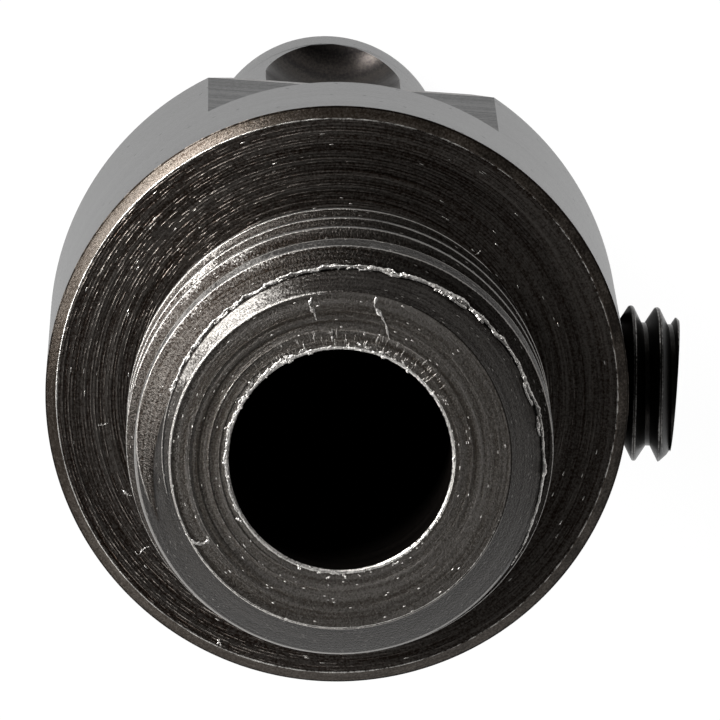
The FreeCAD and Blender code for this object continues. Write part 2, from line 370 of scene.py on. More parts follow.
    def crest_rows(self, before: Groove, after: Groove, end: float, base: float | np.ndarray,
                   rub: np.ndarray) -> list[Row]:
        """Rows on the crest between two grooves, with one at each corner of the outline there.

        Args:
            before: the groove nearer the threaded end.
            after: the groove beyond the crest.
            end: place where the rows stop.
            base: the crest's amount of wear and, on the first crest, its painted highlight.
            rub: how far the edge at the threaded end is rubbed, for each column.

        Returns:
            A place, a radius and an amount of wear and painted light for each row.
        """
        crest, bevel = self.crest_worn, self.edge * after.cut
        last = np.minimum(before.rear + self.edge * before.cut, end)
        stop = np.maximum(after.front - bevel, last)
        middle = (last + stop) / 2
        outer = np.minimum(last + 2 * self.edge * before.cut, middle)
        shade = np.maximum(self.shaded * after.cut, 2 * bevel)
        inner = np.maximum(stop - shade, middle)
        made = []
        for corner in (0.0, *(place for place, _ in self.outline), end):
            if corner in (0.0, end) or last.min() < corner < stop.max():
                place = np.clip(corner, outer, inner)
                brightened = (place == corner) * (corner in self.worn_corners)
                full = self.corner_worn * (rub if corner < self.rubbed_to else 1.0)
                made.append((place, base + (full - base) * brightened))
        # Painted shadow: two rows before the next groove's front rim, darkened below 0 where the rim
        # follows the lead, as the burr's shadow.
        for share in (0.7, 0.3) if self.shaded else ():
            place = np.maximum(stop - share * shade, middle)
            made.append((place, crest - (crest + 1) * after.cut * self.led(after.centre)))
        made.append((stop, crest + (1 - crest) * after.cut))
        return [(place, self.envelope(place), amount) for place, amount in made]

    def groove_rows(self, groove: Groove, end: float) -> list[Row]:
        """Rows of a groove: a broken front edge, its floor with painted shade and a broken rear edge.

        Args:
            groove: the groove.
            end: place where the rows stop.

        Returns:
            A place, a radius and an amount of wear and painted shade for each row.
        """
        crest, bevel, led = self.crest_worn, self.edge * groove.cut, self.led(groove.centre)
        near, far = groove.front + bevel * 1.5, groove.rear - bevel * 1.5
        low, high = (np.clip(groove.centre + way * self.half_flat, near, far) for way in (-1, 1))
        made = []
        # The floor's two rows carry the painted shade.
        for place, amount in (
            (groove.front + bevel * 0.5, self.broken_worn),
            (near, self.beside_worn),
            (low, self.floor_shade),
            (high, self.floor_shade),
            (far, self.beside_worn),
            (groove.rear - bevel * 0.5, self.broken_worn),
        ):
            radius = self.groove(place, groove.centre)
            down = np.clip((place - groove.front) / np.maximum(low - groove.front, 0.001), 0, 1)
            straight = self.envelope(groove.front) * (1 - down) + self.groove(low, groove.centre) * down
            radius = radius + np.where(place < low, led * (straight - radius), 0)
            radius = np.minimum(radius, self.envelope(place))
            made.append((place, radius, crest + (amount - crest) * groove.cut))
        last = np.minimum(groove.rear + bevel, end)
        return [*made, (last, self.envelope(last), crest + (1 - crest) * groove.cut)]


@dataclass
class AdapterBody:
    """The turned and milled piece: nose, body and grooved shank in one closed surface."""

    columns: int = 400
    total_length: float = 79.0
    shoulder: float = 64.5
    shank_length: float = 48.0
    body_radius: float = 11.0
    body_chamfer: float = 0.42
    band_foot: float = 57.7
    flat_distance: float = 9.5
    rear_ring: float = 7.5
    side_rows: tuple[float, float] = (50.5, 62.5)
    crest_radius: float = 7.89
    thread_pitch: float = 2.309
    first_groove: float = 1.66
    first_groove_angle: float = 94
    relief_radius: float = 6.403
    relief_place: float = 9.9
    bore_radius: float = 4.1
    bore_rim: float = 0.1
    bore_plain: float = 76.0
    bore_floor: float = 51.0
    bore_point: float = 48.536
    bore_cone: tuple[float, float] = (2.0, 49.738)
    shank_radius: float = 5.0
    shank_chamfer: float = 1.2
    shank_low_row: float = 3.0
    shank_round: float = 30.5
    neck_fillet: float = 0.6
    slot_half_width: float = 1.5
    slot_floor: float = 3.0
    slot_top: float = 29.0
    floor_columns: int = 8
    wall_columns: int = 12
    groove_columns: int = 30
    groove_radius: float = 4.0
    groove_axis: float = 7.0
    groove_low: float = 7.0
    groove_high: float = 26.0
    hole_radius: float = 3.0
    hole_height: float = 56.5
    hole_columns: int = 24
    hole_half_height: float = 4.0
    clean_side: float = 45
    # Angle of the nose's painted highlight.
    highlight_side: float = 135
    # Angle where the end face's rings are deepest and their painted light is strongest.
    deep_and_lit_side: float = 165
    # Angle of the lit side, towards which the front chamfer's painted light leans.
    lit_side: float = 190
    nose_corners: tuple[tuple[float, float], ...] = (
        (0.0, 6.25),
        (0.02, 6.295),
        (0.05, 6.316),
        (0.08, 6.3377),
        (1.622, 7.451),
        (1.714, 7.508),
        (1.81, 7.548),
        (1.913, 7.572),
        (2.02, 7.58),
        (2.6, 7.58),
    )
    crest_from: float = 3.3
    end_rings: tuple[tuple[float, float, float], ...] = (
        (6.25, 0.0, 1.6),
        (6.235, 0.0, 1.0),
        (6.21, 0.01, 0.1),
        (6.17, 0.02, -0.35),
        (5.99, 0.025, -0.42),
        (5.94, 0.012, 0.0),
        (5.60, 0.01, 0.0),
        (5.56, 0.0, 0.5),
        (5.52, 0.015, 0.0),
        (5.42, 0.02, -0.4),
        (5.34, 0.0, 0.3),
        (5.26, 0.0, 0.3),
        (5.19, 0.03, -0.4),
        (4.91, 0.02, -0.2),
        (4.85, 0.0, 0.5),
        (4.79, 0.035, -0.5),
        (4.52, 0.02, 0.0),
        (4.46, 0.005, 0.15),
        (4.40, 0.03, -0.4),
        (4.26, 0.01, 0.1),
        (4.20, 0.0, 1.0),
    )

    def __post_init__(self) -> None:
        """Set the column angles, with a column on each edge of the wrench flats."""
        step = FULL_TURN / self.columns
        self.angle = np.arange(self.columns + 1) * step
        half = math.acos(self.flat_distance / self.body_radius)
        for middle in (math.pi / 2, 3 * math.pi / 2):
            for edge in (middle - half, middle + half):
                self.angle[int(round(edge / step))] = edge
        turn = np.abs(np.sin(self.angle))
        beyond = np.full_like(turn, 9 * self.body_radius)
        self.flat_reach = np.divide(self.flat_distance, turn, out=beyond, where=turn > 0.5)

    @property
    def quarter(self) -> int:
        """How many columns a quarter of a turn has."""
        return self.columns // 4

    @property
    def nose_length(self) -> float:
        """How far the nose stands out of the body."""
        return self.total_length - self.shoulder

    def thread(self) -> Thread:
        """The nose's thread in its chamfered and relieved outline.

        Returns:
            The thread, with places measured from the nose's end.
        """
        fall = self.crest_radius - self.relief_radius
        return Thread(
            pitch=self.thread_pitch,
            root_radius=self.crest_radius - THREAD_DEPTH * self.thread_pitch,
            outline=(
                *self.nose_corners,
                (self.crest_from, self.crest_radius),
                (self.relief_place, self.crest_radius),
                (self.relief_place + fall, self.relief_radius),
                (self.nose_length, self.relief_radius),
            ),
            grooves=6,
            worn_corners=(0.0, 0.02, 1.714, 1.81, 1.913),
            shaded=0.13,
            start_highlight=0.15,
            lead_slope=1.076,
            lead_offset=0.785,
            lead_until=2.75,
            run_out_from=1.25,
        )

    def groove_centre(self, angle: np.ndarray) -> np.ndarray:
        """Place of the first groove's centre, which nears the nose's end by a pitch for each turn."""
        turns = (self.first_groove_angle - np.degrees(angle)) / 360
        return self.first_groove + turns * self.thread_pitch

    def turned(self, radii: list, heights: list, angle: np.ndarray) -> np.ndarray:
        """Rows of rings from lists of radii and heights, each a number or a value per column."""
        return np.stack([ring(np.asarray(r, float), angle, np.asarray(h, float))
                         for r, h in zip(radii, heights)])

    @property
    def edge_rub(self) -> np.ndarray:
        """How far the end face's outer edge is rubbed: everywhere but at the photograph's upper right.

        The amount is 1 - 1.1 cos(angle from the clean side), kept between 0 and 1.2.
        """
        return np.clip(1 - 1.1 * np.cos(self.angle - math.radians(self.clean_side)), 0, 1.2)

    def lean(self, towards: float) -> np.ndarray:
        """1 at the columns that face an angle in degrees, 0.1 at those opposite, and a cosine between."""
        return 0.55 + 0.45 * np.cos(self.angle - math.radians(towards))

    def add_nose(self, surface: Surface) -> None:
        """The thread and its relief, from the shoulder up to the end face, with a painted highlight
        towards highlight_side.

        Args:
            surface: the surface to add to.
        """
        first = self.groove_centre(self.angle)
        places, radii, wear_and_light = self.thread().rows(first, self.nose_length, self.edge_rub)
        points = ring(radii, self.angle, self.total_length - places)
        # Painted highlight: the side of the nose that faces the key lamps is brightened.
        brightened = 0.45 * bell(np.degrees(self.angle), self.highlight_side, 35)
        surface.add(points[::-1], Zone.NOSE, wear_and_light[::-1] + brightened)

    def add_end_face(self, surface: Surface) -> None:
        """The ring round the bore, with turned rings that are deepest at the photograph's left.

        Each row of end_rings is a radius, a depth and an amount of wear and painted light: bright
        amounts on the raised steps are painted highlights and negative ones in the grooves are painted
        shade. The depths and amounts lean to the deep, lit side, but the outer edge and the bore's rim
        are worn in their own way.

        Args:
            surface: the surface to add to.
        """
        radius, depth, wear_and_light = np.array(self.end_rings).T[:, :, None]
        share = self.lean(self.deep_and_lit_side)
        edge = radius > self.nose_corners[0][1] - 0.03
        rim = radius < self.bore_radius + 0.15
        # Painted light: the rings' bright amounts are highlights and negative ones shade, leaning to the
        # lit side; the outer edge and bore rim are wear.
        wear_and_light_share = np.where(edge, self.edge_rub, np.where(rim, 1.0, share))
        points = ring(radius, self.angle, self.total_length - depth * share)
        surface.add(points, Zone.END, wear_and_light * wear_and_light_share)

    def add_shoulder(self, surface: Surface) -> None:
        """The body's front face, from its chamfer in to the relief.

        Args:
            surface: the surface to add to.
        """
        outer = self.body_radius - self.body_chamfer
        radii = [outer, outer - 0.03, outer - 0.08, 9.2, 7.8, self.relief_radius]
        wear_and_light = np.array([0.9, 0.6, 0, 0, 0, -0.5])[:, None]
        surface.add(self.turned(radii, [self.shoulder] * len(radii), self.angle), Zone.FACE, wear_and_light)

    def add_body_side(self, surface: Surface) -> None:
        """Rear face, flats, band and chamfers. A flat cuts the radius to its distance / sine.

        Args:
            surface: the surface to add to.
        """
        reach, full = self.flat_reach, self.body_radius
        inner = full - self.body_chamfer
        corner = self.shank_length + np.clip(reach - inner, 0, self.body_chamfer)
        rear = self.turned(
            [self.shank_radius + self.neck_fillet, self.rear_ring, np.minimum(inner, reach)],
            [self.shank_length] * 3,
            self.angle,
        )
        surface.add(rear, Zone.FACE)
        low = self.shank_length + self.body_chamfer
        cut = np.minimum(full, reach)
        radii = [np.minimum(inner, reach), cut, cut]
        edge = self.turned(radii, [self.shank_length, corner, low], self.angle)
        surface.add(edge, Zone.RIM, np.array([0.3, 0.3, 0.6])[:, None])
        beside = self.hole_rows()
        low_row, high_row = self.side_rows
        below = beside[beside <= self.band_foot]
        self.add_side_rows(surface, cut, np.r_[low, low + 0.06, low_row, below])
        step = self.turned([cut, np.full_like(cut, full)], [self.band_foot] * 2, self.angle)
        surface.add(step, Zone.FACE, 0.2)
        band = beside[beside >= self.band_foot]
        top = self.shoulder - self.body_chamfer
        self.add_side_rows(surface, np.full_like(cut, full), np.r_[band, high_row, top - 0.03, top])
        self.add_front_chamfer(surface)

    def add_front_chamfer(self, surface: Surface) -> None:
        """The front chamfer: its inner edge is rubbed bright, more so towards the lit side as a painted
        highlight, and its outer edge carries painted shade, darker away from the lit side.

        Args:
            surface: the surface to add to.
        """
        share = np.array([0, 0.10, 0.18, 0.5, 0.88, 0.95, 1.0])
        wear_and_light = np.array([-1.2, -0.9, 0.0, 0.0, 0.0, 0.7, 1.0])[:, None]
        chamfer = self.turned(
            list(self.body_radius - self.body_chamfer * share),
            list(self.shoulder - self.body_chamfer * (1 - share)),
            self.angle,
        )
        # Painted light: a brighter inner edge towards the lit side, darker painted shade away from it.
        lean = self.lean(self.lit_side)
        wear_and_light = np.where(wear_and_light > 0, wear_and_light * (0.35 + 0.65 * lean), wear_and_light - 0.75 * (1 - lean))
        surface.add(chamfer, Zone.RIM, wear_and_light)

    @property
    def hole_bottom(self) -> float:
        """Height of the lower side of the square round the screw hole."""
        return self.hole_height - self.hole_half_height

    @property
    def hole_top(self) -> float:
        """Height of the upper side of the square round the screw hole."""
        return self.hole_height + self.hole_half_height

    def add_side_rows(self, surface: Surface, radius: np.ndarray, heights: np.ndarray) -> None:
        """Rows up the body's side, left open round the screw hole.

        Args:
            surface: the surface to add to.
            radius: radius for each column.
            heights: heights of the rows, from low to high.
        """
        grid = self.turned([radius] * len(heights), heights, self.angle)
        columns, inside = self.columns, self.hole_columns
        edge = math.sin(math.pi / 2 - math.acos(self.flat_distance / self.body_radius))
        flat = np.abs(np.sin(self.angle)) > edge + TINY
        within = (heights >= self.hole_bottom - TINY) & (heights <= self.hole_top + TINY)
        keep = slice(inside, columns - inside + 1)
        is_flat = radius[self.quarter] < self.body_radius - TINY
        self.split_columns(surface, grid[:, keep], flat[keep], is_flat)
        for part in (slice(0, inside + 1), slice(columns - inside, columns + 1)):
            for group in runs(~within):
                wide = slice(max(group.start - 1, 0), min(group.stop + 1, len(heights)))
                surface.add(grid[wide, part], Zone.SIDE)

    def split_columns(self, surface: Surface, grid: np.ndarray, flat: np.ndarray, is_flat: bool) -> None:
        """Add a side grid as its milled and its turned strips.

        Args:
            surface: the surface to add to.
            grid: the rows, without the columns round the screw hole.
            flat: for each column, whether it is strictly between a flat's two edges.
            is_flat: whether these rows have flats at all.
        """
        if not is_flat:
            surface.add(grid, Zone.SIDE)
            return
        for group in runs(flat):
            surface.add(grid[:, group.start - 1 : group.stop + 1], Zone.FLAT)
        for group in runs(~flat):
            surface.add(grid[:, group], Zone.SIDE)

    def add_hole(self, surface: Surface) -> None:
        """The screw hole: a square of the body's side, one of the bore's wall and the tube between.

        Args:
            surface: the surface to add to.
        """
        outer = self.hole_patch(self.body_radius, self.angle)
        inner = self.hole_patch(self.bore_radius, self.bore_angle)
        surface.add(outer, Zone.SIDE, np.r_[0.9, 0.1, np.zeros(len(outer) - 2)][:, None], flip=True)
        surface.add(inner, Zone.BORE)
        share = np.linspace(0, 1, 5)[:, None, None]
        surface.add(outer[0] * (1 - share) + inner[0] * share, Zone.BORE)

    def hole_rows(self) -> np.ndarray:
        """Heights of the rows beside the screw hole, with one at the foot of the band."""
        even = np.linspace(self.hole_bottom, self.hole_top, 17)
        return np.sort(np.r_[even, self.band_foot])

    def hole_patch(self, radius: float, columns: np.ndarray) -> np.ndarray:
        """A cylinder's grid from the round screw hole out to a square.

        Each point of the square's outline has a partner on the circle in the same direction
        from its centre, and the rows lie at even shares between the two on the cylinder.

        Args:
            radius: the cylinder's radius.
            columns: angles of its columns, once round.

        Returns:
            Rows by columns by three, from the hole outwards, closed round the hole.
        """
        wide, heights = columns[: self.hole_columns + 1], self.hole_rows()
        angle = np.concatenate([-wide[:0:-1], wide])
        low, high = heights[0], heights[-1]
        across = np.concatenate([
            angle[:-1], np.full(len(heights) - 1, angle[-1]), angle[:0:-1],
            np.full(len(heights) - 1, angle[0]), angle[:1],
        ])
        up = np.concatenate([
            np.full(len(angle) - 1, low), heights[:-1], np.full(len(angle) - 1, high),
            heights[:0:-1], [low],
        ])
        direction = np.arctan2(up - self.hole_height, radius * across)
        circle_across = np.arcsin(self.hole_radius * np.cos(direction) / radius)
        circle_up = self.hole_height + self.hole_radius * np.sin(direction)
        share = np.array([0, 0.04, 0.3, 0.65, 1.0])[:, None]
        return ring(
            np.array(radius),
            circle_across * (1 - share) + across * share,
            circle_up * (1 - share) + up * share,
        )

    @property
    def bore_angle(self) -> np.ndarray:
        """Column angles low in the bore, where the hole's columns are spread over 60 degrees a side."""
        near, wide = self.angle[self.hole_columns], math.radians(60)
        return np.interp(self.angle, [0, near, FULL_TURN - near, FULL_TURN],
                         [0, wide, FULL_TURN - wide, FULL_TURN])

    def add_bore(self, surface: Surface) -> None:
        """The bore from its broken rim down to the drilled point.

        Args:
            surface: the surface to add to.
        """
        radius, top = self.bore_radius, self.total_length
        radii = [radius + self.bore_rim, radius, radius, radius]
        heights = [top, top - self.bore_rim, top - self.bore_rim - 0.15, self.bore_plain]
        wear_and_light = np.array([1.0, 0.6, 0, 0])[:, None]
        surface.add(self.turned(radii, heights, self.angle), Zone.BORE, wear_and_light)
        turning = np.linspace(0, 1, 6)[:, None]
        angles = self.angle * (1 - turning) + self.bore_angle * turning
        heights = np.linspace(self.bore_plain, self.hole_top, 6)[:, None]
        surface.add(ring(np.array(radius), angles, heights), Zone.BORE)
        rows = self.hole_rows()[::-1]
        keep = slice(self.hole_columns, self.columns - self.hole_columns + 1)
        surface.add(ring(np.array(radius), self.bore_angle[keep], rows[:, None]), Zone.BORE)
        cone_radius, cone_height = self.bore_cone
        radii = [radius, radius, cone_radius, 0.0]
        heights = [self.hole_bottom, self.bore_floor, cone_height, self.bore_point]
        surface.add(self.turned(radii, heights, self.bore_angle), Zone.BORE)

    def section(self, height: float, radius: float, slots: bool) -> np.ndarray:
        """The shank's outline at a height.

        A quarter runs from the middle of a drive slot over its floor and wall, round the plain
        arc and into a ball groove, which is a circle about the groove's axis. Its radius shrinks
        as a sphere's does past the ends of the straight stretch.

        Args:
            height: height of the section.
            radius: the shank's radius there.
            slots: whether the drive slots are cut there.

        Returns:
            Columns by two, once round from the +X side.
        """
        past = max(self.groove_low - height, height - self.groove_high, 0.0)
        ball = math.sqrt(max(self.groove_radius**2 - past**2, 0.0))
        cosine = (radius**2 + self.groove_axis**2 - ball**2) / (2 * radius * self.groove_axis)
        spread = math.acos(min(cosine, 1.0))
        edge = math.asin(self.slot_half_width / radius)
        floor, wall, groove = self.floor_columns, self.wall_columns, self.groove_columns
        plain = self.quarter - floor - wall - groove
        if slots:
            reach = radius * math.cos(edge)
            low, side = np.full(floor, self.slot_floor), np.full(wall, self.slot_half_width)
            out = np.linspace(0, self.slot_half_width, floor + 1)[:-1]
            up = np.linspace(self.slot_floor, reach, wall + 1)[:-1]
            start = np.concatenate([np.stack([low, out], 1), np.stack([up, side], 1)])
        else:
            bend = np.linspace(0, edge, floor + wall + 1)[:-1]
            start = np.stack([radius * np.cos(bend), radius * np.sin(bend)], 1)
        arc = np.linspace(edge, math.pi / 2 - spread, plain + 1)[:-1]
        middle = np.stack([radius * np.cos(arc), radius * np.sin(arc)], 1)
        lean = math.atan2(radius * math.sin(spread), self.groove_axis - radius * math.cos(spread))
        swing = np.linspace(lean, 0, groove + 1)
        bowl = np.stack([ball * np.sin(swing), self.groove_axis - ball * np.cos(swing)], 1)
        if spread < TINY:
            bowl = np.tile([0.0, radius], (groove + 1, 1))
        first_quarter = np.concatenate([start, middle, bowl])
        mirrored = first_quarter[-2:0:-1] * [-1, 1]
        half = np.concatenate([first_quarter, mirrored])
        return np.concatenate([half, -half, half[:1]])

    def add_shank(self, surface: Surface) -> None:
        """The grooved shank from the middle of its end face up to the neck.

        Args:
            surface: the surface to add to.
        """
        blunt = self.shank_radius - self.shank_chamfer
        end = self.section(0.0, blunt, True)
        shares = np.array([0.0, 0.35, 0.7, 1.0])[:, None, None]
        face = np.concatenate([end * shares, np.zeros((4, len(end), 1))], axis=2)
        surface.add(face, Zone.FACE, np.array([0, 0, 0, 0.6])[:, None])
        grid = self.shank_grid(blunt)
        surface.add(grid[:2], Zone.SIDE, 0.5)
        bottom, half = self.quarter, 2 * self.quarter
        slot, groove = self.floor_columns + self.wall_columns, self.groove_columns
        stops = (0, slot, bottom - groove, bottom + groove, half - slot, half)
        zones = (Zone.FLAT, Zone.SIDE, Zone.GROOVE, Zone.SIDE, Zone.FLAT)
        for first, last, zone in zip(stops, stops[1:], zones):
            for shift in (0, half):
                surface.add(grid[1:, first + shift : last + shift + 1], zone)
        self.add_neck(surface, grid[-1])

    def shank_grid(self, blunt: float) -> np.ndarray:
        """Sections from the shank's end to where it is round, close together where the grooves curve.

        Args:
            blunt: radius of the shank's end face.

        Returns:
            Rows by columns by three, with two rows where the drive slots stop.
        """
        steps = np.sin(np.radians(np.linspace(60, 0, 13))) * self.groove_radius
        low = self.groove_low - steps
        high = self.groove_high + steps[::-1]
        even = np.linspace(self.groove_low + 2, self.groove_high - 2, 6)
        heights = [self.shank_low_row, *low, *even, *high[1:]]
        slotted = sorted([self.shank_chamfer, *(h for h in heights if h < self.slot_top), self.slot_top])
        plain = sorted([self.slot_top, *(h for h in heights if h > self.slot_top), self.shank_round])
        rows = [self.row(0.0, blunt, True)]
        rows += [self.row(height, self.shank_radius, True) for height in slotted]
        rows += [self.row(height, self.shank_radius, False) for height in plain]
        return np.stack(rows)

    def add_neck(self, surface: Surface, below: np.ndarray) -> None:
        """The shank's round stretch and the fillet at the body, turning the columns to even angles.

        Args:
            surface: the surface to add to.
            below: the row that it starts from.
        """
        share = np.linspace(0, 1, 8)[:, None]
        below_angle = np.unwrap(np.arctan2(below[:, 1], below[:, 0]))
        angles = below_angle * (1 - share) + self.angle * share
        lift = np.linspace(self.shank_round, self.shank_length - self.neck_fillet, 8)[:, None]
        surface.add(ring(np.array(self.shank_radius), angles, lift), Zone.SIDE)
        sweep = np.radians(np.linspace(0, 90, 8))
        radii = self.shank_radius + self.neck_fillet * (1 - np.cos(sweep))
        rise = self.shank_length - self.neck_fillet * (1 - np.sin(sweep))
        surface.add(ring(radii[:, None], self.angle, rise[:, None]), Zone.SIDE)

    def row(self, height: float, radius: float, slots: bool) -> np.ndarray:
        """The shank's outline at a height, as points in space."""
        outline = self.section(height, radius, slots)
        return np.concatenate([outline, np.full((len(outline), 1), height)], axis=1)

    def build(self, materials: list[bpy.types.Material]) -> bpy.types.Object:
        """Make the whole piece.

        Args:
            materials: one material for each zone.

        Returns:
            The adapter's body as one closed mesh.
        """
        surface = Surface()
        self.add_shank(surface)
        self.add_body_side(surface)
        self.add_shoulder(surface)
        self.add_nose(surface)
        self.add_end_face(surface)
        self.add_bore(surface)
        self.add_hole(surface)
        return surface.build("adapter_body_turned", materials)


def runs(flags: np.ndarray) -> list[slice]:
    """The unbroken stretches where the flags are true.

    Args:
        flags: one true or false for each place.

    Returns:
        A slice for each stretch.
    """
    edges = np.flatnonzero(np.diff(np.concatenate([[0], flags.astype(int), [0]])))
    return [slice(int(a), int(b)) for a, b in zip(edges[::2], edges[1::2])]


def ragged(count: int, cells: float, seed: int, layers: int = 4) -> np.ndarray:
    """Uneven values along a line, the same on every run.

    Each layer joins random heights by straight lines, with twice the cells and six tenths the
    strength of the one before.

    Args:
        count: how many values.
        cells: random heights in the first layer.
        seed: start of the random numbers.
        layers: how many layers are added.

    Returns:
        Values from 0 to 1.
    """
    random = np.random.default_rng(seed)
    place, total, strength = np.linspace(0, 1, count), np.zeros(count), 1.0
    for layer in range(layers):
        heights = random.random(int(cells * 2**layer) + 2)
        total += strength * np.interp(place * (len(heights) - 1), np.arange(len(heights)), heights)
        strength *= 0.6
    return (total - total.min()) / (total.max() - total.min())


@dataclass
class TornStrip:
    """A strip of torn metal: a flattened oval carried along a line, pointed at both ends."""

    line: np.ndarray
    up: np.ndarray
    width: np.ndarray
    height: np.ndarray
    sides: int = 6

    def grid(self) -> np.ndarray:
        """The strip's points: line + across * width / 2 * cos + up * height * (0.3 + 0.7 sin).

        Returns:
            One row for each place of the line and one column for each corner of the oval.
        """
        along = np.gradient(self.line, axis=0)
        across = np.cross(along, self.up)
        across /= np.linalg.norm(across, axis=1, keepdims=True)
        turn = np.linspace(0, FULL_TURN, self.sides + 1)[:, None]
        ends = np.sin(np.linspace(0, math.pi, len(self.line))) ** 0.25
        side = (self.width * ends / 2)[:, None, None] * across[:, None] * np.cos(turn)
        rise = (self.height * ends)[:, None, None] * self.up[:, None] * (0.3 + 0.7 * np.sin(turn))
        return self.line[:, None] + side + rise


@dataclass
class Burrs:
    """The torn metal that the cutting tools left on the thread's start and round the bore, and hairs.

    A flake is its angle in degrees, half its length in degrees, its way up the cone and its
    size. A hair is a width and the places that it goes through, across and up the photograph.
    """

    body: AdapterBody
    step: float = 0.2
    cone: tuple[float, float] = (0.81, 0.585)
    flakes: tuple[tuple[float, float, float, float], ...] = (
        (58, 4.5, 0.13, 0.26), (50, 3.0, 0.08, 0.22), (63, 2.0, 0.16, 0.20), (84, 4.5, 0.10, 0.16),
        (40, 4.0, 0.04, 0.18), (22, 3.8, 0.24, 0.20), (12, 3.0, 0.13, 0.20), (103, 3.0, 0.02, 0.22),
        (96, 2.5, -0.03, 0.24), (117, 3.5, 0.03, 0.24), (126, 3.0, 0.0, 0.18),
        (144, 3.0, 0.0, 0.26), (161, 1.6, 0.0, 0.24), (-14, 3.0, 0.03, 0.12),
    )
    end_hairs: tuple[tuple[float, tuple[tuple[float, float], ...]], ...] = (
        (0.10, ((-1.473, 5.969), (-1.561, 5.666), (-1.36, 5.42), (-1.246, 5.105))),
        (0.11, ((0.891, 6.142), (0.813, 5.795), (1.093, 5.48), (1.302, 5.124), (1.466, 4.567))),
        (0.07, ((-0.662, 4.838), (-0.63, 4.6), (-0.611, 4.369))),
        (0.10, ((-5.50, -3.05), (-5.302, -3.267), (-5.107, -3.439), (-4.811, -3.456), (-4.6, -3.329),
                (-4.688, -3.112))),
    )
    shoulder_hairs: tuple[tuple[float, tuple[tuple[float, float], ...]], ...] = (
        (0.07, ((-7.858, -4.097), (-7.653, -4.274), (-7.456, -4.337))),
        (0.07, ((-7.031, -6.552), (-6.85, -6.30), (-6.602, -6.196))),
        (0.06, ((-8.913, -1.719), (-8.72, -1.70), (-8.543, -1.616))),
        (0.12, ((-3.809, -9.575), (-3.78, -9.70), (-3.678, -9.835))),
        (0.05, ((4.786, 5.747), (4.90, 5.80), (4.984, 5.921))),
    )

    def thread_start(self) -> list[TornStrip]:
        """The burr along the front rim of the thread's first groove, and the flakes that lean from it.

        Returns:
            The long strip, then a strip for each flake.
        """
        angle = np.radians(np.arange(-30, 163, self.step))
        count, degrees = len(angle), np.degrees(angle)
        drift = (ragged(count, 26, 3) - 0.5) * 0.10
        peel = 0.16 * bell(degrees, 78, 5) + 0.10 * bell(degrees, 24, 4)
        line, up = self.rim_line(angle, drift + peel)
        height = 0.05 + 0.17 * ragged(count, 60, 5, 5) ** 1.5
        width = 0.06 + 0.20 * ragged(count, 46, 9, 5) ** 1.8
        strips = [TornStrip(line, up, width, height)]
        random, spread = np.random.default_rng(11), ((66, 160), (0.6, 2.2), (-0.05, 0.07), (0.07, 0.17))
        small = [tuple(random.uniform(low, high) for low, high in spread) for _ in range(46)]
        rings = 30
        for number, (middle, reach, side, size) in enumerate((*self.flakes, *small)):
            turn = np.radians(np.linspace(middle - reach, middle + reach, rings))
            spot, way = self.rim_line(turn, side + 0.05 * np.sin(np.linspace(0, 5, rings) + number))
            uneven = 0.45 + 0.55 * ragged(rings, 6, 100 + number)
            strips.append(TornStrip(spot, way, size * uneven, size * 0.6 * uneven))
        return strips

    def rim_line(self, angle: np.ndarray, inward: np.ndarray) -> tuple[np.ndarray, np.ndarray]:
        """A line along the first groove's front rim, and the way that the cone faces there.

        Args:
            angle: angles round the axis.
            inward: how far up the cone the line lies from the rim.

        Returns:
            Points of the line and the cone's normals.
        """
        out, up = self.cone
        place, radius = self.body.thread().front_rim(self.body.groove_centre(angle))
        line = ring(radius - up * inward, angle, self.body.total_length - place + out * inward)
        return line, ring(np.full(len(angle), out), angle, np.full(len(angle), up))

    def bore_rim(self) -> list[TornStrip]:
        """The crumbled burr round the bore, thicker at the photograph's upper left and lower right.

        Returns:
            The strip round the bore, then its crumbs.
        """
        angle = np.radians(np.arange(0, 360 + self.step, self.step))
        count, degrees = len(angle), np.degrees(angle)
        bore, top = self.body.bore_radius, self.body.total_length
        heavy = bell(degrees, 148, 44) + 0.5 * bell(degrees, 292, 30)
        uneven = ragged(count, 90, 21, 5) * np.sin(angle / 2) ** 0.1
        width = 0.06 + (0.05 + 0.17 * heavy) * uneven
        line = ring(bore + 0.04 + width * 0.4, angle, np.full(count, top - 0.02))
        strips = [TornStrip(line, upright(count), width, 0.02 + 0.03 * uneven)]
        random, rings = np.random.default_rng(17), 16
        middles = [*random.normal(150, 32, 60), *random.normal(295, 24, 16), *random.uniform(40, 100, 8)]
        spans = ((0.6, 2.0), (0.02, 0.30), (0.06, 0.15))
        for number, middle in enumerate(middles):
            reach, out, size = (random.uniform(*span) for span in spans)
            turn = np.radians(np.linspace(middle - reach, middle + reach, rings))
            away = bore + 0.03 + out**1.2 + 0.05 * np.sin(np.linspace(0, 3, rings) + number)
            spot = ring(away, turn, np.full(rings, top - 0.015))
            uneven = 0.5 + 0.5 * ragged(rings, 4, 300 + number)
            strips.append(TornStrip(spot, upright(rings), size * uneven, 0.045 * uneven))
        return strips

    def hairs(self) -> list[TornStrip]:
        """Loose hairs and scratches' lips on the end face and the shoulder, smoothed between places.

        Returns:
            A strip for each hair.
        """
        top, low, count = self.body.total_length - 0.01, self.body.shoulder, 60
        lines = [(top, *hair) for hair in self.end_hairs] + [(low, *hair) for hair in self.shoulder_hairs]
        strips = []
        for number, (height, width, spots) in enumerate(lines):
            share = np.linspace(0, len(spots) - 1, count)
            knots = np.arange(len(spots))
            flat = np.stack([np.interp(share, knots, axis) for axis in zip(*spots)], axis=1)
            flat[2:-2] = sum(flat[i : len(flat) - 4 + i] for i in range(5)) / 5
            line = np.concatenate([flat, np.full((count, 1), height)], axis=1)
            thick = width * (0.3 + 1.5 * ragged(count, 7, 40 + number) ** 1.5)
            strips.append(TornStrip(line, upright(count), thick, np.minimum(thick * 0.6, 0.04)))
        return strips

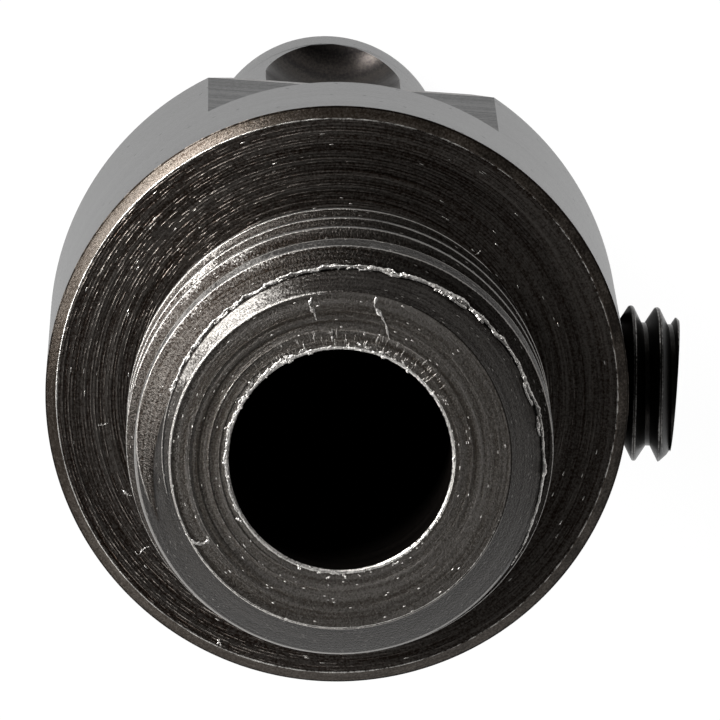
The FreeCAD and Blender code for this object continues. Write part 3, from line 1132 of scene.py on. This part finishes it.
    def build(self, material: bpy.types.Material) -> list[bpy.types.Object]:
        """Make the three pieces of torn metal.

        Args:
            material: the finish of freshly torn steel.

        Returns:
            The thread's burr, the bore's burr and the hairs.
        """
        made, gap = [], 0.00005
        for name, strips in (
            ("thread_start_burr", self.thread_start()),
            ("bore_rim_burr", self.bore_rim()),
            ("turning_hairs", self.hairs()),
        ):
            surface = Surface()
            for strip in strips:
                surface.add(strip.grid(), Zone.FACE, 1.0)
            made.append(surface.build(name, [material], gap))
        return made


@dataclass
class GrubScrew:
    """The set screw: a threaded rod with a flat point and a hexagon socket."""

    columns: int = 120
    tip: float = 5.0
    length: float = 8.0
    height: float = 56.5
    radius: float = 2.96
    end_radius: float = 2.51
    pitch: float = 1.0
    thread_start: float = 12.9
    end_chamfer: float = 0.45
    point_chamfer: float = 0.9
    point_depth: float = 0.25
    socket_half: float = 1.5
    socket_depth: float = 3.2
    socket_rim: tuple[float, float] = (0.12, 0.08)

    def place(self, along: np.ndarray, radius: np.ndarray, angle: np.ndarray) -> np.ndarray:
        """Points about the screw's axis: along X, radius cos angle in Y and radius sin angle in Z."""
        along, radius, angle = np.broadcast_arrays(along, radius, angle)
        return np.stack([along, radius * np.cos(angle), self.height + radius * np.sin(angle)], axis=-1)

    def build(self, material: bpy.types.Material) -> bpy.types.Object:
        """Make the screw.

        Args:
            material: its finish.

        Returns:
            The screw as one closed mesh.
        """
        angle = np.linspace(0, FULL_TURN, self.columns + 1)
        degrees = np.degrees(angle)
        end, point = self.tip + self.length, self.radius - self.point_chamfer
        thread = Thread(
            pitch=self.pitch,
            root_radius=self.radius - THREAD_DEPTH * self.pitch,
            outline=((0.0, self.end_radius), (self.end_chamfer, self.radius),
                     (self.length - self.point_chamfer, self.radius), (self.length, point)),
            grooves=9,
            edge=0.03,
        )
        first = end - self.thread_start - (degrees - 90) / 360
        places, radii, wear_and_light = thread.rows(first, self.length, np.zeros_like(first))
        surface = Surface()
        surface.add(self.place(end - places, radii, angle)[::-1], Zone.FACE, wear_and_light[::-1])
        hexagon = self.socket_half / np.cos(np.radians(np.mod(degrees - 30, 60) - 30))
        beside, below = self.socket_rim
        depth = end - self.socket_depth
        rim = ((end, self.end_radius), (end, hexagon + beside), (end - below, hexagon))
        socket = (rim[-1], (depth, hexagon), (depth - 0.1, hexagon * 0.5), (depth - 0.3, 0))
        flat_point = ((self.tip + self.point_depth, 0), (self.tip, point))
        for rows, amount in ((rim, (0.6, 0.4, 0.6)), (socket, 0.0), (flat_point, 0.0)):
            grid = np.stack([self.place(along, radius, angle) for along, radius in rows])
            surface.add(grid, Zone.FACE, np.array(amount)[..., None])
        return surface.build("grub_screw_threaded", [material])


Colour = tuple[float, float, float]
Socket = bpy.types.NodeSocket


class Graph:
    """The node tree of a material or world, with short calls for the nodes that the finishes use."""

    def __init__(self, owner: bpy.types.Material | bpy.types.World) -> None:
        """Start an empty tree.

        Args:
            owner: the material or world.
        """
        owner.use_nodes = True
        self.owner = owner
        self.tree = owner.node_tree
        self.tree.nodes.clear()

    def node(self, kind: str, **settings: object) -> bpy.types.Node:
        """Add a node and set its properties.

        Args:
            kind: the node's type.
            **settings: its properties by name.

        Returns:
            The node.
        """
        made = self.tree.nodes.new(kind)
        for name, value in settings.items():
            setattr(made, name, value)
        return made

    def feed(self, socket: Socket, value: object) -> None:
        """Link a socket to another, or set it to a number or colour.

        Args:
            socket: the input socket.
            value: an output socket, or a number or colour.
        """
        if isinstance(value, Socket):
            self.tree.links.new(value, socket)
        else:
            socket.default_value = value

    def math(self, operation: str, first: object, second: object = 0.0) -> Socket:
        """A Math node of two values.

        Args:
            operation: what the node does.
            first: its first value, a socket or a number.
            second: its second value, where the operation has one.

        Returns:
            The result.
        """
        made = self.node("ShaderNodeMath", operation=operation)
        self.feed(made.inputs[0], first)
        self.feed(made.inputs[1], second)
        return made.outputs[0]

    def plus(self, first: object, second: object) -> Socket:
        """The sum of two values."""
        return self.math("ADD", first, second)

    def minus(self, first: object, second: object) -> Socket:
        """The first value less the second."""
        return self.math("SUBTRACT", first, second)

    def times(self, first: object, second: object) -> Socket:
        """The product of two values."""
        return self.math("MULTIPLY", first, second)

    def millimetres(self, scale: tuple[float, float, float] = (1, 1, 1)) -> Socket:
        """Object coordinates in millimetres, stretched by a scale.

        Args:
            scale: how much each axis is stretched.

        Returns:
            The coordinates as a vector.
        """
        place = self.node("ShaderNodeTexCoord")
        stretch = self.node("ShaderNodeMapping", vector_type="POINT")
        stretch.inputs["Scale"].default_value = [share * 1000 for share in scale]
        self.feed(stretch.inputs["Vector"], place.outputs["Object"])
        return stretch.outputs[0]

    def noise(self, vector: object, scale: float, detail: float = 2.0, sharp: float = 0.5) -> Socket:
        """Noise in space.

        Args:
            vector: the place.
            scale: changes for each unit of the place.
            detail: how many finer layers are added.
            sharp: the strength of each layer beside the one before.

        Returns:
            Values from 0 to 1.
        """
        made = self.node("ShaderNodeTexNoise", noise_dimensions="3D")
        self.feed(made.inputs["Vector"], vector)
        made.inputs["Scale"].default_value = scale
        made.inputs["Detail"].default_value = detail
        made.inputs["Roughness"].default_value = sharp
        return made.outputs[0]

    def lines(self, along: object, scale: float, drift: float, detail: float = 3.0) -> Socket:
        """Noise that changes fast along one value and slowly round the piece.

        Args:
            along: the value that the lines cross, in millimetres.
            scale: changes for each millimetre.
            drift: changes for each millimetre in space.
            detail: how many finer layers are added.

        Returns:
            Values from 0 to 1.
        """
        made = self.node("ShaderNodeTexNoise", noise_dimensions="4D")
        self.feed(made.inputs["Vector"], self.millimetres((drift, drift, drift * 0.2)))
        self.feed(made.inputs["W"], self.times(along, scale))
        made.inputs["Scale"].default_value = 1.0
        made.inputs["Detail"].default_value = detail
        made.inputs["Roughness"].default_value = 0.6
        return made.outputs[0]

    def parts(self) -> list[Socket]:
        """The three Object coordinates in millimetres.

        Returns:
            X, Y and Z.
        """
        split = self.node("ShaderNodeSeparateXYZ")
        self.feed(split.inputs[0], self.millimetres())
        return list(split.outputs)

    def radius(self) -> Socket:
        """Distance from the adapter's axis: the root of x squared plus y squared."""
        x, y, _ = self.parts()
        return self.math("SQRT", self.plus(self.times(x, x), self.times(y, y)))

    def turning(self, rise: float) -> Socket:
        """Radius + rise * height. It is even on a cone that narrows as much, and changes elsewhere."""
        return self.plus(self.radius(), self.times(self.parts()[2], rise))

    def round_about(self) -> Socket:
        """Way round the axis in millimetres at a radius of 8."""
        x, y, _ = self.parts()
        return self.times(self.math("ARCTAN2", y, x), 8.0)

    def steps(self, value: object, low: float, high: float) -> Socket:
        """0 below the low value, 1 above the high one, and smooth between them.

        Args:
            value: the value that is compared.
            low: where the step starts.
            high: where it ends, which may be below its start.

        Returns:
            Values from 0 to 1.
        """
        made = self.node("ShaderNodeMapRange", interpolation_type="SMOOTHSTEP")
        self.feed(made.inputs["Value"], value)
        made.inputs["From Min"].default_value = low
        made.inputs["From Max"].default_value = high
        return made.outputs["Result"]

    def mix(self, share: object, first: object, second: object) -> Socket:
        """A mix of two colours.

        Args:
            share: the second colour's share, from 0 to 1.
            first: a colour.
            second: a colour.

        Returns:
            The mixed colour.
        """
        made = self.node("ShaderNodeMix", data_type="RGBA")
        self.feed(made.inputs[0], share)
        self.feed(made.inputs[6], first)
        self.feed(made.inputs[7], second)
        return made.outputs[2]

    def wear_and_light(self) -> Socket:
        """The piece's own amount of wear and painted light."""
        return self.node("ShaderNodeAttribute", attribute_name="wear_and_light").outputs["Fac"]

    def dashes(self, across: object, along: object, width: float, length: float, share: float) -> Socket:
        """Short marks that lie along the lines, each in a cell of its own.

        Args:
            across: the value across the lines, in millimetres.
            along: the value along them, in millimetres.
            width: a mark's width in millimetres.
            length: its length in millimetres.
            share: how many of the cells have one.

        Returns:
            1 on a mark and 0 elsewhere.
        """
        spot = self.node("ShaderNodeCombineXYZ")
        self.feed(spot.inputs[0], self.math("DIVIDE", across, width * 2))
        self.feed(spot.inputs[1], self.math("DIVIDE", along, length * 2))
        cells = self.node("ShaderNodeTexVoronoi", voronoi_dimensions="2D")
        self.feed(cells.inputs["Vector"], spot.outputs[0])
        cells.inputs["Scale"].default_value = 1.0
        chance = self.node("ShaderNodeSeparateColor")
        self.feed(chance.inputs[0], cells.outputs["Color"])
        chosen = self.math("GREATER_THAN", chance.outputs[0], 1 - share)
        near = self.minus(0.5, cells.outputs["Distance"])
        return self.times(chosen, self.steps(near, 0.15, 0.35))

    def ridges(self, across: object, spacing: float, drift: object) -> Socket:
        """Sharp ridges with round valleys, as a turning tool leaves.

        The value is 1 - |sin(pi across / spacing + drift)|.

        Args:
            across: the value across the ridges, in millimetres.
            spacing: the way from one to the next.
            drift: a slow shift of the ridges.

        Returns:
            1 on a ridge and 0 in the middle of a valley.
        """
        phase = self.plus(self.times(across, math.pi / spacing), drift)
        return self.minus(1.0, self.math("ABSOLUTE", self.math("SINE", phase)))

    def chatter(self, outer: float) -> Socket:
        """Short strokes that point at the axis, on the side of the end face at +Y.

        Args:
            outer: radius where they fade.

        Returns:
            1 on a stroke and 0 elsewhere.
        """
        x, y, _ = self.parts()
        spot = self.node("ShaderNodeCombineXYZ")
        self.feed(spot.inputs[0], self.times(self.math("ARCTAN2", x, y), 52.0))
        self.feed(spot.inputs[1], self.times(self.radius(), 2.2))
        strokes = self.steps(self.noise(spot.outputs[0], 1.0, 2.0), 0.56, 0.70)
        near = self.minus(1.0, self.steps(self.radius(), outer - 0.15, outer + 0.1))
        side = self.steps(self.math("DIVIDE", y, self.radius()), 0.45, 0.85)
        return self.times(strokes, self.times(near, side))

    def bump(self, height: object) -> Socket:
        """A bump in the surface.

        Args:
            height: its height in millimetres.

        Returns:
            The normal that it gives.
        """
        made = self.node("ShaderNodeBump")
        made.inputs["Strength"].default_value = 1.0
        made.inputs["Distance"].default_value = MM
        self.feed(made.inputs["Height"], height)
        return made.outputs[0]


class Cut(Enum):
    """How an area was cut, which sets the way its fine lines run."""

    TURNED = "turned"
    MILLED = "milled"


@dataclass(frozen=True)
class BlackenedSteel:
    """Blackened steel with cutting lines, grain, bright specks, pits, rubbed edges, painted highlights
    and painted shade.

    Colours are linear, and depths, heights, sizes and spacings are in millimetres. Specks and
    pits are shares of the cells that can hold one, and chatter is the radius where it fades.
    Steel shows bright from the amount of wear and painted light bright_from on, and painted shade darkens
    it below 0.
    """

    name: str
    dark: Colour
    light: Colour
    bright: Colour
    roughness: float = 0.4
    gloss_change: float = 0.2
    cut: Cut = Cut.TURNED
    line_spacing: float = 0.16
    line_depth: float = 0.01
    line_share: float = 0.5
    line_rise: float = 0.75
    grain_depth: float = 0.004
    grain_size: float = 0.09
    grain_rise: float = 0.4
    feed_depth: float = 0.0
    feed_spacing: float = 0.15
    chatter: float = 0.0
    chatter_height: float = 0.02
    specks: float = 0.0
    speck_size: tuple[float, float] = (0.035, 0.13)
    speck_height: float = 0.02
    pits: float = 0.0
    pit_size: tuple[float, float] = (0.10, 0.09)
    pit_depth: float = 0.03
    bright_from: float = 0.45
    wear_noise: float = 0.9
    patch_noise: float = 0.8

    def make(self) -> bpy.types.Material:
        """Build the finish as a material.

        Returns:
            The material.
        """
        graph = Graph(bpy.data.materials.new(self.name))
        turned = self.cut is Cut.TURNED
        across = graph.turning(self.line_rise) if turned else graph.parts()[2]
        fine = graph.lines(across, 1 / self.line_spacing, 0.12 if turned else 0.03)
        broad = graph.lines(across, 0.22 / self.line_spacing, 0.06, 2.0)
        grain = graph.noise(graph.millimetres((1, 1, self.grain_rise)), 1 / self.grain_size, 3.0, 0.65)
        colour = self.oxide(graph, fine, grain)
        height = graph.times(fine, self.line_depth)
        height = graph.plus(height, graph.times(broad, self.line_depth * 0.8))
        height = graph.plus(height, graph.times(grain, self.grain_depth))
        colour, height = self.tool_marks(graph, across, broad, colour, height)
        colour, height = self.small_marks(graph, across, colour, height)
        rough = graph.plus(self.roughness, graph.times(graph.minus(broad, 0.5), self.gloss_change))
        shader = graph.node("ShaderNodeBsdfPrincipled")
        shader.inputs["Metallic"].default_value = 1.0
        graph.feed(shader.inputs["Base Color"], colour)
        graph.feed(shader.inputs["Roughness"], rough)
        graph.feed(shader.inputs["Normal"], graph.bump(height))
        output = graph.node("ShaderNodeOutputMaterial")
        graph.feed(output.inputs["Surface"], shader.outputs[0])
        return graph.owner

    def oxide(self, graph: Graph, fine: Socket, grain: Socket) -> Socket:
        """The oxide's colour, darker where shade is painted, and bright where edges are rubbed and where
        highlights are painted.

        Args:
            graph: the tree to add to.
            fine: the fine cutting lines.
            grain: the grain.

        Returns:
            The colour.
        """
        shade = graph.plus(graph.times(fine, self.line_share), graph.times(grain, 1 - self.line_share))
        colour = graph.mix(graph.steps(shade, 0.36, 0.64), (*self.dark, 1), (*self.light, 1))
        wear_and_light = graph.wear_and_light()
        ragged_wear_and_light = graph.minus(grain, 0.5)
        ragged_wear_and_light = graph.plus(wear_and_light, graph.times(ragged_wear_and_light, self.wear_noise))
        patchy = graph.minus(graph.noise(graph.millimetres(), 0.7, 2.0), 0.5)
        ragged_wear_and_light = graph.plus(ragged_wear_and_light, graph.times(patchy, self.patch_noise))
        # Painted shade: the colour falls to a third of the dark one where the amount is below 0.
        colour = graph.mix(graph.steps(ragged_wear_and_light, -0.3, -0.9), colour, self.deep(0.3))
        # Bright steel where edges are rubbed and where highlights are painted.
        brightened = graph.steps(ragged_wear_and_light, self.bright_from, self.bright_from + 0.4)
        return graph.mix(brightened, colour, (*self.bright, 1))

    def deep(self, share: float) -> tuple[float, ...]:
        """The dark colour at a share of its strength, with its alpha."""
        return tuple(part * share for part in self.dark) + (1,)

    def tool_marks(self, graph: Graph, across: Socket, broad: Socket, colour: Socket,
                   height: Socket) -> tuple[Socket, Socket]:
        """Add the feed ridges and the chatter, where the finish has them.

        Args:
            graph: the tree to add to.
            across: the value across the cutting lines, in millimetres.
            broad: the broad cutting lines.
            colour: the colour so far.
            height: the height so far, in millimetres.

        Returns:
            The colour and the height with the marks.
        """
        if self.feed_depth:
            ridge = graph.ridges(across, self.feed_spacing, graph.times(broad, 4.0))
            broken = graph.steps(graph.lines(across, 1 / self.feed_spacing, 1.9, 2.0), 0.45, 0.65)
            raised = graph.times(graph.times(ridge, self.feed_depth), graph.plus(broken, 0.3))
            height = graph.plus(height, raised)
            crest = graph.times(graph.steps(ridge, 0.6, 1.0), broken)
            colour = graph.mix(graph.times(crest, 0.5), colour, (*self.light, 1))
        if self.chatter:
            strokes = graph.chatter(self.chatter)
            colour = graph.mix(graph.times(strokes, 0.35), colour, (*self.bright, 1))
            height = graph.plus(height, graph.times(strokes, self.chatter_height))
        return colour, height

    def small_marks(self, graph: Graph, across: Socket, colour: Socket,
                    height: Socket) -> tuple[Socket, Socket]:
        """Add the bright specks and the dark pits, where the finish has them.

        Args:
            graph: the tree to add to.
            across: the value across the cutting lines, in millimetres.
            colour: the colour so far.
            height: the height so far, in millimetres.

        Returns:
            The colour and the height with the marks.
        """
        if self.specks:
            marks = graph.dashes(across, graph.round_about(), *self.speck_size, self.specks)
            colour = graph.mix(marks, colour, (*self.bright, 1))
            height = graph.plus(height, graph.times(marks, self.speck_height))
        if self.pits:
            holes = graph.dashes(across, graph.round_about(), *self.pit_size, self.pits)
            colour = graph.mix(holes, colour, self.deep(0.15))
            height = graph.minus(height, graph.times(holes, self.pit_depth))
        return colour, height


@dataclass
class Finishes:
    """Every finish of the adapter, made once."""

    bright: Colour = (0.62, 0.60, 0.57)

    def adapter(self) -> list[bpy.types.Material]:
        """The finishes of the adapter's zones.

        Returns:
            A material for each zone, in the zones' order.
        """
        by_zone = {
            Zone.FACE: BlackenedSteel(
                "turned_face", (0.016, 0.010, 0.007), (0.095, 0.086, 0.078), self.bright,
                roughness=0.36, line_depth=0.045, grain_depth=0.010, feed_depth=0.012,
                feed_spacing=0.12, specks=0.010),
            Zone.SIDE: BlackenedSteel(
                "turned_side", (0.038, 0.038, 0.038), (0.068, 0.068, 0.068), self.bright,
                roughness=0.36, gloss_change=0.04, line_depth=0.004, line_share=0.12,
                grain_depth=0.012, grain_size=0.10, grain_rise=0.5, pits=0.012),
            Zone.NOSE: BlackenedSteel(
                "cut_thread", (0.005, 0.0035, 0.0025), (0.034, 0.031, 0.028), (0.20, 0.19, 0.178),
                roughness=0.36, line_depth=0.014, line_rise=-0.75, grain_depth=0.032,
                grain_size=0.08, specks=0.03),
            Zone.FLAT: BlackenedSteel(
                "milled_flat", (0.004, 0.004, 0.004), (0.055, 0.055, 0.055), self.bright,
                roughness=0.5, cut=Cut.MILLED, line_spacing=0.22, line_depth=0.05),
            Zone.GROOVE: BlackenedSteel(
                "milled_groove", (0.012, 0.011, 0.011), (0.032, 0.028, 0.025), self.bright,
                roughness=0.32, cut=Cut.MILLED, line_spacing=0.6, line_depth=0.02),
            Zone.BORE: BlackenedSteel(
                "drilled_bore", (0.004, 0.0035, 0.003), (0.012, 0.010, 0.009), self.bright,
                roughness=0.5),
            Zone.END: BlackenedSteel(
                "turned_end_face", (0.040, 0.034, 0.028), (0.12, 0.112, 0.104), self.bright,
                roughness=0.40, line_spacing=0.20, line_depth=0.03, grain_depth=0.020,
                grain_size=0.07, chatter=4.85, specks=0.02, wear_noise=1.4),
            Zone.RIM: BlackenedSteel(
                "turned_rim", (0.020, 0.015, 0.011), (0.072, 0.062, 0.053), self.bright,
                roughness=0.30, line_spacing=0.10, line_depth=0.02, grain_depth=0.012,
                bright_from=0.55, wear_noise=0.5),
        }
        return [by_zone[zone].make() for zone in Zone]

    def torn(self) -> bpy.types.Material:
        """Steel where it was torn after blackening, nearly bare.

        Returns:
            The material.
        """
        bare = (0.50, 0.485, 0.465)
        return BlackenedSteel("torn_steel", (0.13, 0.12, 0.11), bare, bare, roughness=0.42,
                              line_depth=0.0, grain_depth=0.03, bright_from=0.9).make()

    def screw(self) -> bpy.types.Material:
        """The grub screw's black finish.

        Returns:
            The material.
        """
        return BlackenedSteel("black_screw", (0.006, 0.0055, 0.005), (0.016, 0.015, 0.014),
                              (0.16, 0.155, 0.15), roughness=0.36, line_depth=0.0,
                              bright_from=0.7).make()


@dataclass(frozen=True)
class Lamp:
    """A soft rectangular lamp that faces the adapter. Its sizes are in metres and its power in watts."""

    name: str
    direction: tuple[float, float, float]
    distance: float
    size: tuple[float, float]
    watts: float

    def add(self, target: Vector) -> None:
        """Add the lamp at its distance from the target, in its direction.

        Args:
            target: the point that it faces, in metres.
        """
        data = bpy.data.lights.new(self.name, "AREA")
        data.shape = "RECTANGLE"
        data.size, data.size_y = self.size
        data.energy = self.watts
        lamp = bpy.data.objects.new(self.name, data)
        way = Vector(self.direction).normalized()
        lamp.location = target + way * self.distance
        lamp.rotation_euler = way.to_track_quat("Z", "Y").to_euler()
        bpy.context.scene.collection.objects.link(lamp)


@dataclass
class Stage:
    """Floor, backdrop, lamps and camera.

    The lamps are a low one, a high one and a near one at the photograph's upper left, and two
    weaker fills. The camera's distances and its lens are in millimetres and its angles in degrees.
    """

    floor_size: float = 4.0
    floor_height: float = -0.02
    floor_grey: float = 0.9
    floor_glow: float = 0.97
    horizon: tuple[float, float] = (0.10, 0.16)
    sky: float = 0.13
    lamp_target: float = 0.05
    lamps: tuple[Lamp, ...] = (
        Lamp("low_key", (-0.616, 0.788, 0.07), 0.9, (0.30, 0.14), 5),
        Lamp("high_key", (-0.84, 0.54, 0.60), 1.0, (0.40, 0.40), 30),
        Lamp("low_fill", (-0.50, -0.84, 0.47), 1.1, (1.0, 0.6), 12),
        Lamp("near_card", (-0.930, 0.368, -0.07), 0.30, (0.30, 0.05), 0.6),
        Lamp("right_fill", (0.9, -0.2, 0.5), 1.2, (0.6, 0.6), 0.6),
    )
    camera_distance: float = 526.3
    camera_lens: float = 698.6
    camera_sensor: float = 36.0
    tilt: float = 9.15
    heading: float = 0.582
    roll: float = 4.0
    offset: tuple[float, float] = (-0.858, -1.370)
    target_height: float = 64.5

    def add_floor(self) -> None:
        """A plain pale floor that the camera sees as nearly white, a hair below the shank's end."""
        graph = Graph(bpy.data.materials.new("pale_floor"))
        diffuse = graph.node("ShaderNodeBsdfDiffuse")
        diffuse.inputs["Color"].default_value = (self.floor_grey,) * 3 + (1,)
        glow = graph.node("ShaderNodeEmission")
        glow.inputs["Color"].default_value = (1, 1, 1, 1)
        path = graph.node("ShaderNodeLightPath")
        seen = graph.math("MAXIMUM", path.outputs["Is Camera Ray"], path.outputs["Is Glossy Ray"])
        seen = graph.math("MAXIMUM", seen, path.outputs["Is Transmission Ray"])
        mix = graph.node("ShaderNodeMixShader")
        graph.feed(mix.inputs[0], graph.times(seen, self.floor_glow))
        graph.feed(mix.inputs[1], diffuse.outputs[0])
        graph.feed(mix.inputs[2], glow.outputs[0])
        output = graph.node("ShaderNodeOutputMaterial")
        graph.feed(output.inputs["Surface"], mix.outputs[0])
        half, low = self.floor_size / 2, self.floor_height * MM
        mesh = bpy.data.meshes.new("floor")
        square = [(-half, -half, low), (half, -half, low), (half, half, low), (-half, half, low)]
        mesh.from_pydata(square, [], [(0, 1, 2, 3)])
        mesh.materials.append(graph.owner)
        floor = bpy.data.objects.new("floor", mesh)
        bpy.context.scene.collection.objects.link(floor)

    def add_world(self) -> None:
        """A white backdrop up to a little above the horizon, and an even grey above it."""
        world = bpy.data.worlds.new("studio")
        bpy.context.scene.world = world
        graph = Graph(world)
        split = graph.node("ShaderNodeSeparateXYZ")
        graph.feed(split.inputs[0], graph.node("ShaderNodeTexCoord").outputs["Generated"])
        mix = graph.node("ShaderNodeMixShader")
        graph.feed(mix.inputs[0], graph.steps(split.outputs[2], *self.horizon))
        for socket, strength in zip((mix.inputs[1], mix.inputs[2]), (1.0, self.sky)):
            shade = graph.node("ShaderNodeBackground")
            shade.inputs["Color"].default_value = (1, 1, 1, 1)
            shade.inputs["Strength"].default_value = strength
            graph.feed(socket, shade.outputs[0])
        output = graph.node("ShaderNodeOutputWorld")
        graph.feed(output.inputs[0], mix.outputs[0])

    def add_camera(self) -> None:
        """The photograph's camera, which looks at the nose from nearly along the axis.

        The axis as the camera sees it leans by the tilt and the heading, and the camera's
        axes are the rows of the turn that does this, rolled about the adapter's own axis.
        """
        tilt, heading, roll = (math.radians(a) for a in (self.tilt, self.heading, self.roll))
        axis = np.array([
            math.sin(heading) * math.cos(tilt),
            -math.sin(tilt),
            math.cos(heading) * math.cos(tilt),
        ])
        right = np.cross([0, 1, 0], axis)
        right /= np.linalg.norm(right)
        turn = np.stack([right, np.cross(axis, right), axis], axis=1)
        turn = turn @ np.array([
            [math.cos(roll), math.sin(roll), 0],
            [-math.sin(roll), math.cos(roll), 0],
            [0, 0, 1],
        ])
        eye = turn.T @ np.array([-self.offset[0], -self.offset[1], self.camera_distance])
        eye[2] += self.target_height
        data = bpy.data.cameras.new("camera")
        data.lens = self.camera_lens
        data.sensor_width = self.camera_sensor
        data.clip_start, data.clip_end = 0.01, 100.0
        camera = bpy.data.objects.new("camera", data)
        matrix = Matrix(turn.T.tolist()).to_4x4()
        matrix.translation = Vector((eye * MM).tolist())
        camera.matrix_world = matrix
        bpy.context.scene.collection.objects.link(camera)
        bpy.context.scene.camera = camera

    def build(self) -> None:
        """Set up the whole stage."""
        self.add_camera()
        self.add_floor()
        self.add_world()
        for lamp in self.lamps:
            lamp.add(Vector((0, 0, self.lamp_target)))
        bpy.context.scene.view_settings.view_transform = "Standard"


def main() -> None:
    """Build every piece on the frame."""
    logging.basicConfig(level=logging.INFO, format="%(name)s: %(message)s")
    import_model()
    Stage().build()
    finishes = Finishes()
    adapter = AdapterBody()
    body = adapter.build(finishes.adapter())
    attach(body, "adapter")
    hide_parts("adapter_body")
    for burr in Burrs(adapter).build(finishes.torn()):
        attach(burr, "adapter")
    screw = GrubScrew().build(finishes.screw())
    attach(screw, "screw")
    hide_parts("grub_screw")


if __name__ == "__main__":
    main()
